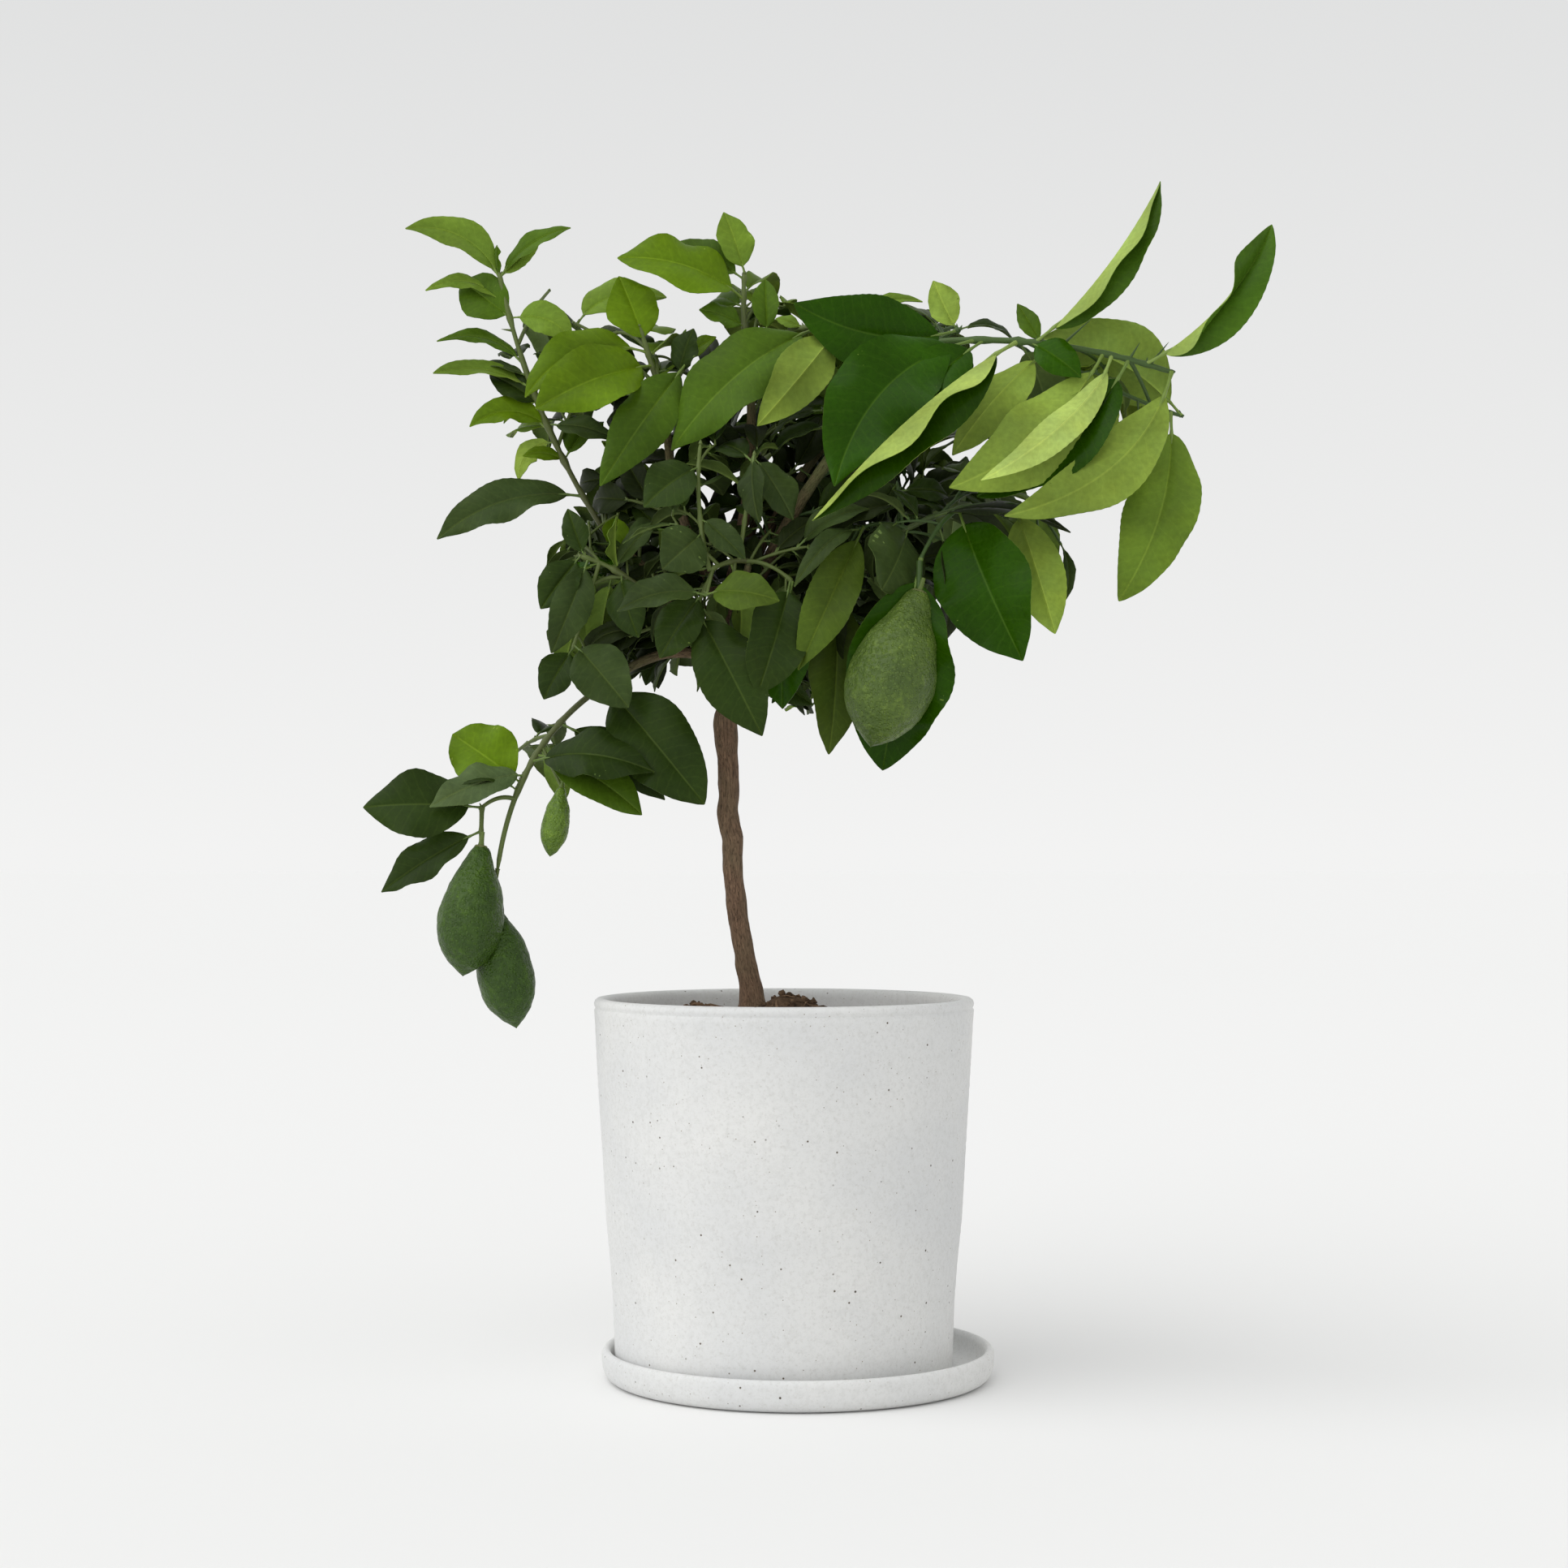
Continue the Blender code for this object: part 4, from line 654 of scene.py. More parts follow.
def bowed(start, reach, bow, stations):
    """Points from start along reach, standing off it by bow in the middle."""
    shares = [i / (stations - 1) for i in range(stations)]
    return [start + reach * t + bow * (4 * t * (1 - t)) for t in shares]


def path_length(path):
    """The length along a path."""
    return sum((b - a).length for a, b in zip(path, path[1:]))


def along_path(path, share):
    """The point and direction at a share of a path's length."""
    left = share * path_length(path)
    for a, b in zip(path, path[1:]):
        length = (b - a).length
        if left <= length:
            return a.lerp(b, left / length), (b - a).normalized()
        left -= length
    return path[-1].copy(), (path[-1] - path[-2]).normalized()


def trunk_at(height):
    """The trunk's centre and radius at a height."""
    for low, high in zip(TRUNK, TRUNK[1:]):
        if height <= high[2]:
            share = (height - low[2]) / (high[2] - low[2])
            x, y, z, radius = (a + (b - a) * share for a, b in zip(low, high))
            return Vector((x, y, z)), radius
    return Vector(TRUNK[-1][:3]), TRUNK[-1][3]


def clear_start(limb, first, thick):
    """Where a tube starts past a limb's tip, so that its root's edge is just clear of the limb."""
    heading = (limb[-1] - limb[-2]).normalized()
    return limb[-1] + heading * (GAP + thick * heading.cross(first).length)


def clear_of_trunk(centre, heading, thick):
    """How far a limb's root ring is from the trunk's surface at its nearest."""
    side = heading.orthogonal().normalized() * thick
    other = heading.cross(side)
    gaps = []
    for angle in round_steps(ROOT_RING_STEPS):
        place = centre + side * math.cos(angle) + other * math.sin(angle)
        middle, radius = trunk_at(place.z)
        gaps.append(math.hypot(place.x - middle.x, place.y - middle.y) - radius)
    return min(gaps)


def bough_path(bough):
    """The middle line of a bough, from just clear of the trunk to its tip."""
    reach, bow = Vector(bough.reach), Vector(bough.bow)
    first = bowed(Vector(), reach, bow, LIMB_STATIONS)[1].normalized()
    if bough.height is None:
        trunk_top = [Vector(knot[:3]) for knot in TRUNK[-2:]]
        return bowed(clear_start(trunk_top, first, bough.thick), reach, bow, LIMB_STATIONS)
    start, radius = trunk_at(bough.height)
    outward = Vector((first.x, first.y, 0)).normalized()
    start += outward * (radius + bough.thick)
    for _ in range(SEATING_ROUNDS):
        start += outward * (GAP + BARK_ALLOWANCE - clear_of_trunk(start, first, bough.thick))
    return bowed(start, reach, bow, LIMB_STATIONS)


def limb_radii(thick, thin, count):
    """Radii that taper evenly from thick to thin."""
    return [thick + (thin - thick) * i / (count - 1) for i in range(count)]


def stem_start(stem, limb):
    """Where a mass's stem starts, just clear of its bough's tip."""
    path = bowed(Vector(), Vector(stem.reach), Vector(stem.bow), SHOOT_STATIONS)
    return clear_start(limb, path[1].normalized(), stem.thick)


def half_width(share):
    """A leaf's half width at a share of its blade, as a share of its widest."""
    return math.sin(math.pi * share**LEAF_BROADEST) ** LEAF_FULL


def leaf_axes(leaf):
    """A leaf's axes: along its chord, across its blade, and out of its upper side."""
    along = Vector(leaf.reach).normalized()
    sky = UP - along * UP.dot(along)
    if sky.length < NEARLY_UPRIGHT:
        sky = FRONT - along * FRONT.dot(along)
    sky.normalize()
    toward = along.cross(sky)
    if toward.dot(FRONT) < 0:
        toward.negate()
    lean = math.radians(leaf.lean)
    out = sky * math.cos(lean) + toward * math.sin(lean)
    return along, along.cross(out), out


def leaf_frame(leaf, root, share):
    """The midrib's point at a share of a leaf's length, with the sideways and upward directions there."""
    along, across, out = leaf_axes(leaf)
    length = Vector(leaf.reach).length
    swell = 4 * share * (1 - share)
    point = root + length * (along * share + (out * leaf.arch + across * leaf.sway) * swell)
    slope = 4 * (1 - 2 * share)
    heading = (along + (out * leaf.arch + across * leaf.sway) * slope).normalized()
    turn = math.radians(leaf.twist) * (share - 0.5)
    side = across * math.cos(turn) + out * math.sin(turn)
    side = (side - heading * side.dot(heading)).normalized()
    return point, side, side.cross(heading)


def leaf_shape(leaf, root, grow=0.0, blade_only=False):
    """A leaf's points and faces: a closed keeled blade with sharp edges, narrowing to its stalk."""
    length = Vector(leaf.reach).length
    keel = max(length * LEAF_THICKNESS, THINNEST_LEAF)
    sections = [] if blade_only else [(0.0, STALK_HALF, STALK_HALF)]
    for share in LEAF_STATIONS:
        blade = (share - STALK_SHARE) / (1 - STALK_SHARE)
        sections.append((share, half_width(blade) * leaf.wide * length / 2, keel))
    points = []
    for share, half, deep in sections:
        centre, side, up = leaf_frame(leaf, root, share)
        points += [
            centre - side * (half + grow) + up * (deep / 3 + grow),
            centre + side * (half + grow) + up * (deep / 3 + grow),
            centre - up * (deep * 2 / 3 + grow),
        ]
    tip, _, _ = leaf_frame(leaf, root, 1.0)
    points.append(tip + Vector(leaf.reach).normalized() * grow)
    last = len(points) - 4
    faces = [(2, 1, 0)]
    faces += [
        (low + corner, low + (corner + 1) % 3, low + 3 + (corner + 1) % 3, low + 3 + corner)
        for low in range(0, last, 3)
        for corner in range(3)
    ]
    faces += [(last + corner, last + (corner + 1) % 3, last + 3) for corner in range(3)]
    return points, faces


def box_of(points):
    """The lowest and highest corners of some points."""
    return tuple([pick(p[i] for p in points) for i in range(3)] for pick in (min, max))


class Space:
    """What already stands where, so that nothing new runs into another solid."""

    def __init__(self):
        self.taken = []

    def add(self, node, points, faces, thin=False):
        """Takes a shape's place for a node. A thin shape is one that the node's own new leaves avoid too."""
        self.taken.append((node, BVHTree.FromPolygons(points, faces), box_of(points), thin))

    def free(self, node, points, faces, own):
        """Whether a shape is clear of every other node, and of its own node's thin shapes if asked."""
        tree = BVHTree.FromPolygons(points, faces)
        low, high = box_of(points)
        for other, other_tree, (other_low, other_high), thin in self.taken:
            if other == node and not (own and thin):
                continue
            apart = any(low[i] > other_high[i] or high[i] < other_low[i] for i in range(3))
            if not apart and tree.overlap(other_tree):
                return False
        return True

    def covers(self, point):
        """Whether something that stands already lies before or behind a point, as the camera sees it."""
        way = (point - EYE).normalized()
        return any(tree.ray_cast(EYE, way)[0] is not None for _, tree, _, _ in self.taken)


def probe(path, *radii):
    """A square tube that holds a limb of one radius or one at each point, to test what it would touch."""
    radii = radii if len(radii) > 1 else radii * len(path)
    across = (path[-1] - path[0]).orthogonal()
    points = []
    for i, (place, radius) in enumerate(zip(path, radii)):
        heading = path[min(i + 1, len(path) - 1)] - path[max(i - 1, 0)]
        side = heading.cross(across).normalized()
        other = heading.cross(side).normalized()
        corners = ((-1, -1), (1, -1), (1, 1), (-1, 1))
        points += [place + (side * a + other * b) * radius for a, b in corners]
    faces = [(3, 2, 1, 0), tuple(len(points) - 4 + i for i in range(4))]
    for low in range(0, len(points) - 4, 4):
        faces += [(low + i, low + (i + 1) % 4, low + 4 + (i + 1) % 4, low + 4 + i) for i in range(4)]
    return points, faces


def in_dense(point):
    """Whether a point shows where the photo has leaves right through the crown."""
    seen = EYE + (point - EYE) * (EYE.y / (EYE.y - point.y))
    return any(math.hypot((seen.x - x) / wide, (seen.z - z) / high) < 1 for (x, z), (wide, high) in DENSE)


def turns(number):
    """The angles that the rule tries round a twig for its leaf or side twig of a number."""
    return [number * GOLDEN_ANGLE + math.radians(turn) for turn in TURNS]


def spaced(along, number, late, count):
    """The share of a twig's length where one of its leaves or side twigs grows, inside a stretch."""
    low, high = along
    return low + (high - low) * (number + late) / count


class Clump:
    """A mass of foliage as it grows: its twigs and their radii, its leaves and their roots, and its fruit."""

    def __init__(self, space, node, start):
        self.space, self.node, self.mass = space, node, MASSES[node]
        self.paths, self.thick, self.leaves, self.fruit = [], [], [], []
        for shoot in self.mass.shoots:
            root = start if shoot.parent is None else along_path(self.paths[shoot.parent], shoot.at)[0]
            self.take_twig(bowed(root, Vector(shoot.reach), Vector(shoot.bow), SHOOT_STATIONS), shoot.thick)

    def take_twig(self, path, thick):
        """Takes a twig and its place."""
        self.paths.append(path)
        self.thick.append(thick)
        self.space.add(self.node, *probe(path, thick), True)

    def take_leaf(self, leaf, root, with_stalk=True):
        """Takes a leaf and its blade's place, and that of its stalk if asked."""
        self.leaves.append((leaf, root))
        self.space.add(self.node, *leaf_shape(leaf, root, 0, True), True)
        if with_stalk:
            self.space.add(self.node, *leaf_shape(leaf, root))

    def hang_fruit(self):
        """Hangs the mass's fruit."""
        for fruit in self.mass.fruit:
            stalk_tip, heading = along_path(self.paths[fruit.shoot], 1.0)
            axis = Vector(fruit.axis)
            self.fruit.append((stalk_tip - heading * STALK_IN_LEMON, axis, fruit.wide))
            core = bowed(stalk_tip, axis, Vector(), SHOOT_STATIONS)
            self.space.add(self.node, *probe(core, fruit.wide * LEMON_CORE), True)

    def free(self, shape, own):
        """Whether a shape is clear of every other node, and of this one's thin shapes if asked."""
        return self.space.free(self.node, *shape, own)

    def within(self, point):
        """Whether a point is inside the mass's own space."""
        away = Vector(point) - Vector(self.mass.centre)
        return sum((away[i] / self.mass.space[i]) ** 2 for i in range(3)) <= 1

    def may_grow(self, point):
        """Whether finer growth may reach a point: in the dense crown, or in the mass and over no sky."""
        return in_dense(point) or (self.within(point) and self.space.covers(point))

    def place_leaf(self, leaf, root):
        """Adds a listed leaf, its tip moved forward or back as far as it needs to be clear."""
        for step in DEPTH_STEPS:
            tried = leaf._replace(reach=tuple(Vector(leaf.reach) + Vector((0, step, 0))))
            if self.free(leaf_shape(tried, root, LEAF_CLEARANCE), False):
                self.take_leaf(tried, root)
                return

    def place_leaves(self):
        """Adds all the listed leaves."""
        for path, shoot in zip(self.paths, self.mass.shoots):
            for leaf in shoot.leaves:
                self.place_leaf(leaf, along_path(path, leaf.at)[0])

    def spread_from(self, direction, angle, spread):
        """A way that leaves a direction by the spread, at an angle round it. Front masses grow back."""
        first = direction.orthogonal().normalized()
        round_it = first * math.cos(angle) + direction.cross(first) * math.sin(angle)
        if self.mass.centre[1] < FRONT_DEPTH and round_it.y < 0:
            round_it.y *= -BACKWARD
        return (direction * math.cos(spread) + round_it.normalized() * math.sin(spread)).normalized()

    def tried_leaf(self, growth, scale, direction, angle, chance):
        """The leaf that the rule tries for a growth's twig, at an angle round the twig."""
        way = self.spread_from(direction, angle, LEAF_SPREAD)
        way.z -= growth.droop
        length = scale * chance.uniform(*growth.length)
        return Leaf(
            at=0,
            reach=tuple(way.normalized() * length),
            lean=chance.uniform(*growth.lean),
            arch=chance.uniform(*LEAF_ARCH),
            wide=chance.uniform(*LEAF_WIDE),
            twist=chance.uniform(*LEAF_TWIST),
            # Inner leaves are marked for the inner set of tones, which paints the crown's shade into them
            tone="inner" if growth is INNER else "",
        )

    def add_ruled_leaf(self, root, direction, number, chance):
        """Adds the rule's leaf at a place, turned until it fits the mass's space, if it does."""
        for angle in turns(number):
            leaf = self.tried_leaf(FIRST, self.mass.leaf_length, direction, angle, chance)
            if not self.within(root + Vector(leaf.reach)):
                continue
            clear = self.free(leaf_shape(leaf, root, LEAF_CLEARANCE), False)
            if clear and self.free(leaf_shape(leaf, root, LEAF_CLEARANCE, True), True):
                self.take_leaf(leaf, root)
                return

    def add_ruled_twigs(self, chance):
        """Adds the rule's first twigs, along the stem."""
        stem = self.paths[0]
        shortest, longest = TWIG_REACH
        reach = min(max(path_length(stem) * TWIG_SHARE, shortest), longest)
        for number in range(self.mass.twigs):
            root, direction = along_path(stem, spaced(TWIGS_ALONG, number, 0.5, self.mass.twigs))
            for angle in turns(number):
                way = self.spread_from(direction, angle, TWIG_SPREAD) * reach * chance.uniform(*FIRST.reach)
                path = bowed(root, way, Vector(TWIG_BOW), SHOOT_STATIONS)
                room = probe(path, FIRST.thick + LEAF_CLEARANCE)
                if self.within(path[-1]) and self.free(room, False):
                    self.take_twig(path, FIRST.thick)
                    break

    def add_by_rule(self, chance):
        """Adds the rule's first twigs, and its leaves on them and on the listed shoots."""
        self.add_ruled_twigs(chance)
        fills = [shoot.fill for shoot in self.mass.shoots]
        fills += [FIRST.leaves] * (len(self.paths) - len(fills))
        for path, count in zip(self.paths, fills):
            for number in range(count):
                place = along_path(path, spaced(LEAVES_ALONG, number, LEAF_LATE, count))
                self.add_ruled_leaf(*place, number, chance)

    def add_finer_leaf(self, growth, root, direction, number, chance):
        """Adds a leaf to a finer twig, where there is room and the photo shows no sky."""
        for angle in turns(number):
            leaf = self.tried_leaf(growth, 1.0, direction, angle, chance)
            reach = Vector(leaf.reach)
            if not all(self.may_grow(root + reach * share) for share in (0.5, 1.0)):
                continue
            if self.free(leaf_shape(leaf, root, LEAF_CLEARANCE, True), True):
                self.take_leaf(leaf, root, False)
                return

    def grow_finer_twig(self, growth, place, angle, chance):
        """Adds a short side twig at a place on its parent, with its leaves, where there is room for them."""
        root, direction = place
        reach = self.spread_from(direction, angle, TWIG_SPREAD) * chance.uniform(*growth.reach)
        path = bowed(root, reach, Vector(FINE_BOW), SHOOT_STATIONS)
        room = probe(path[1:], growth.thick + LEAF_CLEARANCE)
        if not self.may_grow(path[-1]) or not self.free(room, True):
            return
        leaves_before = len(self.leaves)
        for number in range(growth.leaves):
            at = along_path(path, spaced(FINE_LEAVES_ALONG, number, FINE_LEAF_LATE, growth.leaves))
            self.add_finer_leaf(growth, *at, number, chance)
        if len(self.leaves) > leaves_before:
            self.take_twig(path, growth.thick)

    def grow_finer_twigs(self, limb, chance):
        """Carries the rule one step on: side twigs on each of the mass's twigs, and along its bough."""
        if self.node in LEFT_OPEN:
            return
        spots = [(parent, share, FINE) for parent in self.paths for share in FINE_ALONG]
        spots += [(limb, share, INNER) for _ in range(INNER_ROUNDS) for share in INNER_ALONG]
        for number, (parent, share, growth) in enumerate(spots):
            angle = (number + 0.5) * GOLDEN_ANGLE + chance.uniform(0, 3)
            self.grow_finer_twig(growth, along_path(parent, share), angle, chance)


def plan_masses(space, starts):
    """The masses, grown: first all that is listed, then what the rule adds."""
    clumps = [Clump(space, node, starts[mass.bough]) for node, mass in MASSES.items()]
    for clump in clumps:
        clump.hang_fruit()
    for clump in clumps:
        clump.place_leaves()
    for number, clump in enumerate(clumps):
        clump.add_by_rule(random.Random(SEED + number))
    return {clump.node: clump for clump in clumps}


def grow_sprigs(clumps):
    """Adds the listed small sprigs to their masses."""
    for sprig in SPRIGS:
        clump = clumps[sprig.mass]
        tip = Vector(sprig.tip)
        knots = [point for path in clump.paths for point in path]
        root = min(knots, key=lambda point: (point - tip).length)
        path = bowed(root, tip - root, Vector(FINE_BOW), SHOOT_STATIONS)
        clump.take_twig(path, SPRIG_THICK)
        for leaf in sprig.leaves:
            clump.take_leaf(leaf, along_path(path, leaf.at)[0], False)


def plan_limbs(space):
    """Each bough's middle line, and where the stem of the mass on it starts."""
    space.add("trunk", *probe([Vector(knot[:3]) for knot in TRUNK], *(knot[3] for knot in TRUNK)))
    stems = {mass.bough: mass.shoots[0] for mass in MASSES.values()}
    limbs, starts = {}, {}
    for name, bough in BOUGHS.items():
        path = bough_path(bough)
        space.add(name, *probe(path, *limb_radii(bough.thick, bough.thin, LIMB_STATIONS)))
        limbs[name] = path
        starts[name] = stem_start(stems[name], path)
    return limbs, starts


def pot_radius(height):
    """The pot's outer radius at a height, read along its side."""
    side = POT_SIDE + ((POT_TOP_Z, POT_RIM_RADIUS),)
    for (low, r_low), (high, r_high) in zip(side, side[1:]):
        if height <= high:
            return r_low + (r_high - r_low) * (height - low) / (high - low)
    return POT_RIM_RADIUS


def soil_height(x, y):
    """The soil's height: level, with a few soft heaps."""
    height = SOIL_Z
    for heap_x, heap_y, spread, rise in SOIL_HEAPS:
        away = math.hypot(x - heap_x, y - heap_y) / spread
        height += rise * math.exp(-away * away)
    return height + 0.5 * math.sin(x * 0.31 + 1) * math.cos(y * 0.27)


def linear(colour):
    """An sRGB colour from 0 to 255 as linear light."""
    shares = [c / 255 for c in colour]
    return tuple(c / 12.92 if c <= 0.04045 else ((c + 0.055) / 1.055) ** 2.4 for c in shares)


def ink(colour):
    """An sRGB colour from 0 to 255 as a shader's colour."""
    return (*linear(colour), 1)


def blend(first, second, share):
    """A share of one colour with the rest of another."""
    return [a * share + b * (1 - share) for a, b in zip(first, second)]


def in_scene(name, data):
    """A new object in the scene."""
    made = bpy.data.objects.new(name, data)
    bpy.context.scene.collection.objects.link(made)
    return made


def store(mesh, name, kind, field, values):
    """Stores a value at each of a mesh's points."""
    layer = mesh.attributes.new(name, kind, "POINT")
    layer.data.foreach_set(field, np.asarray(values, np.float32).ravel())


class Sheaf:
    """Points, faces and point attributes gathered for one mesh."""

    def __init__(self):
        self.points, self.hues, self.marks = [], [], []
        self.faces, self.kinds = [], []
        self.count = 0

    def add(self, points, faces, kind=0, hue=(1, 1, 1, 1), marks=None):
        """Takes a shape with its faces' material number, its points' colours and its points' marks."""
        points = np.asarray(points, float).reshape(-1, 3)
        self.points.append(points)
        self.hues.append(np.broadcast_to(np.asarray(hue, float), (len(points), 4)))
        self.marks.append(np.zeros((len(points), 3)) if marks is None else marks)
        self.join(faces, kind, self.count)
        self.count += len(points)

    def add_tube(self, path, radii, sides, hue=(1, 1, 1, 1), kind=0):
        """Takes a closed tube."""
        points, faces, marks = tube_mesh(path, radii, sides)
        self.add(points, faces, kind, hue, marks)

    def join(self, faces, kind, base):
        """Takes faces whose points are counted from a base."""
        self.faces += [[i + base for i in face] for face in faces]
        self.kinds += [kind] * len(faces)

    def mesh(self, name):
        """The gathered points and faces as a mesh in metres."""
        mesh = bpy.data.meshes.new(name)
        mesh.from_pydata((np.vstack(self.points) * MM).tolist(), [], self.faces)
        return mesh

    def piece(self, name, materials, slot, nodes, sharp=60):
        """The gathered mesh as a piece that rides on the plant and stands for some nodes."""
        mesh = self.mesh(name)
        for material in materials:
            mesh.materials.append(material)
        mesh.polygons.foreach_set("material_index", self.kinds)
        mesh.shade_smooth()
        mesh.set_sharp_from_angle(angle=math.radians(sharp))
        store(mesh, "hue", "FLOAT_COLOR", "color", np.vstack(self.hues))
        store(mesh, "marks", "FLOAT_VECTOR", "vector", np.vstack(self.marks))
        mesh.validate()
        made = in_scene(name, mesh)
        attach(made, "root")
        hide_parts(*nodes)


def grid_faces(rows, columns, ring=False):
    """Quads of a grid of points stored row by row, its columns joined into a ring if asked."""
    across = columns if ring else columns - 1
    row, column = np.meshgrid(np.arange(rows - 1), np.arange(across), indexing="ij")
    here = row * columns + column
    after = row * columns + (column + 1) % columns
    return np.stack([here, after, after + columns, here + columns], -1).reshape(-1, 4).tolist()


def smooth_line(knots, per_span):
    """Points of a smooth curve through some knots."""
    knots = np.asarray(knots, float)
    ends = np.vstack([2 * knots[0] - knots[1], knots, 2 * knots[-1] - knots[-2]])
    t = np.arange(per_span)[:, None] / per_span
    spans = []
    for a, b, c, d in zip(ends, ends[1:], ends[2:], ends[3:]):
        curve = 2 * b + (c - a) * t + (2 * a - 5 * b + 4 * c - d) * t**2 + (3 * b - a - 3 * c + d) * t**3
        spans.append(curve / 2)
    return np.vstack(spans + [knots[-1:]])


def unit(vectors):
    """Vectors brought to length one."""
    vectors = np.asarray(vectors, float)
    return vectors / np.maximum(np.linalg.norm(vectors, axis=-1, keepdims=True), 1e-9)


def lengths_along(path):
    """The length from a path's start to each of its points."""
    return np.concatenate([[0.0], np.cumsum(np.linalg.norm(np.diff(path, axis=0), axis=1))])


def closed_rings(rows, columns, turned=False):
    """Faces of a stack of rings of points, closed at both ends, and turned over if asked."""
    last = (rows - 1) * columns
    faces = grid_faces(rows, columns, True)
    faces += [list(range(columns))[::-1], [last + i for i in range(columns)]]
    return [face[::-1] for face in faces] if turned else faces


def nearest_of(points):
    """A tree that finds the nearest of some points."""
    tree = KDTree(len(points))
    for number, point in enumerate(points):
        tree.insert(Vector(point), number)
    tree.balance()
    return tree


def tube_mesh(path, radii, sides):
    """A closed tube's points, faces and marks: round it in millimetres twice, and along it."""
    path = np.asarray(path, float)
    headings = unit(np.gradient(path, axis=0))
    side = np.asarray(Vector(headings[0]).orthogonal(), float)
    angles = np.arange(sides) * 2 * math.pi / sides
    points, marks = [], []
    for place, heading, radius, along in zip(path, headings, radii, lengths_along(path)):
        side = unit(side - heading * side.dot(heading))
        other = np.cross(heading, side)
        ring = np.outer(np.cos(angles), side) + np.outer(np.sin(angles), other)
        points.append(place + radius * ring)
        marks.append(np.stack([radius * np.cos(angles), radius * np.sin(angles), np.full(sides, along)], 1))
    return np.vstack(points), closed_rings(len(path), sides), np.vstack(marks)


def smooth_path(path, stations):
    """A bowed path again with more stations."""
    reach = path[-1] - path[0]
    share = 1 / (len(path) - 1)
    bow = (path[1] - path[0] - reach * share) / (4 * share * (1 - share))
    return np.array([tuple(p) for p in bowed(path[0], reach, bow, stations)])


def half_section(half, fold, wave, curl):
    """The columns of one half of a blade at each station: how far out, how far up, and their slope."""
    slope = fold[:, None] * BLADE_BEND - curl * BLADE_CURL + wave[:, None] * BLADE_COLUMNS[1:] ** 2
    steps = half[:, None] * np.diff(BLADE_COLUMNS)
    none = np.zeros((len(half), 1))
    outward = np.hstack([none, np.cumsum(steps * np.cos(slope), axis=1)])
    upward = np.hstack([none, np.cumsum(steps * np.sin(slope), axis=1)])
    tilt = np.hstack([none, (slope[:, :-1] + slope[:, 1:]) / 2, slope[:, -1:]])
    return outward, upward, tilt


def blade_frames(leaf, root, shares, droop=0.0):
    """The midrib's points at some shares of a leaf's length, with the side and up directions there."""
    along, across, out = (np.asarray(axis, float) for axis in leaf_axes(leaf))
    length = Vector(leaf.reach).length
    share = shares[:, None]
    bend = out * leaf.arch + across * leaf.sway
    points = np.asarray(root, float) + length * (along * share + bend * 4 * share * (1 - share))
    points = points - out * (length * droop * share**4)
    heading = unit(along + bend * 4 * (1 - 2 * share) - out * (4 * droop * share**3))
    turn = math.radians(leaf.twist) * (share - 0.5)
    side = across * np.cos(turn) + out * np.sin(turn)
    side = unit(side - heading * (side * heading).sum(1, keepdims=True))
    return points, side, np.cross(side, heading)


def blade_outline(leaf, blade, chance):
    """A blade's half widths at its stations, left and right, with a drawn-out tip and fine teeth."""
    length = Vector(leaf.reach).length
    full = np.abs(np.sin(np.pi * blade**OUTLINE_BROADEST)) ** chance.uniform(*OUTLINE_FULL)
    shape = full * leaf.wide * length / 2
    from_tip = (blade - TIP_PINCH_AT) / TIP_PINCH_HALF
    shape = shape * (1 - chance.uniform(*TIP_PINCH) * np.exp(-(from_tip**2)))
    teeth = TEETH * (np.arange(len(blade)) % 2 * 2 - 1) * np.sin(np.pi * blade)
    halves = []
    for _ in range(2):
        uneven = 1 + UNEVEN * np.sin(2 * np.pi * (UNEVEN_WAVES * blade + chance.random()))
        halves.append(np.maximum(shape * uneven + teeth, NARROWEST_HALF))
    return halves


def half_blade(sign, half, fold, blade, side, up, flip, curl, chance):
    """One half of a blade: its columns' places beside the midrib, their up directions and their shares."""
    low, high = fold
    angle = np.radians(low + (high - low) * blade) * flip
    phase = chance.random()
    waves = chance.uniform(*WAVE_COUNT) * blade + phase
    wave = chance.uniform(*WAVE_VARIES) * np.sin(2 * np.pi * waves)
    outward, upward, tilt = half_section(half, angle, wave, curl)
    offset = side[:, None] * (sign * outward)[..., None] + up[:, None] * upward[..., None]
    normal = side[:, None] * (-sign * np.sin(tilt))[..., None] + up[:, None] * np.cos(tilt)[..., None]
    order = slice(None, None, -1) if sign < 0 else slice(1, None)
    return offset[:, order], normal[:, order], sign * BLADE_COLUMNS[order]


def blade_rim(stations, across, turned):
    """Faces round a blade's edge that join its lower sheet's points to its upper sheet's, counted back."""
    count = stations * across
    edge = list(range(across))
    edge += [row * across + across - 1 for row in range(1, stations)]
    edge += [count - 1 - i for i in range(1, across)]
    edge += [row * across for row in range(stations - 2, 0, -1)]
    rim = [(a, b, b - count, a - count) for a, b in zip(edge, edge[1:] + edge[:1])]
    return [face[::-1] for face in rim] if turned else rim


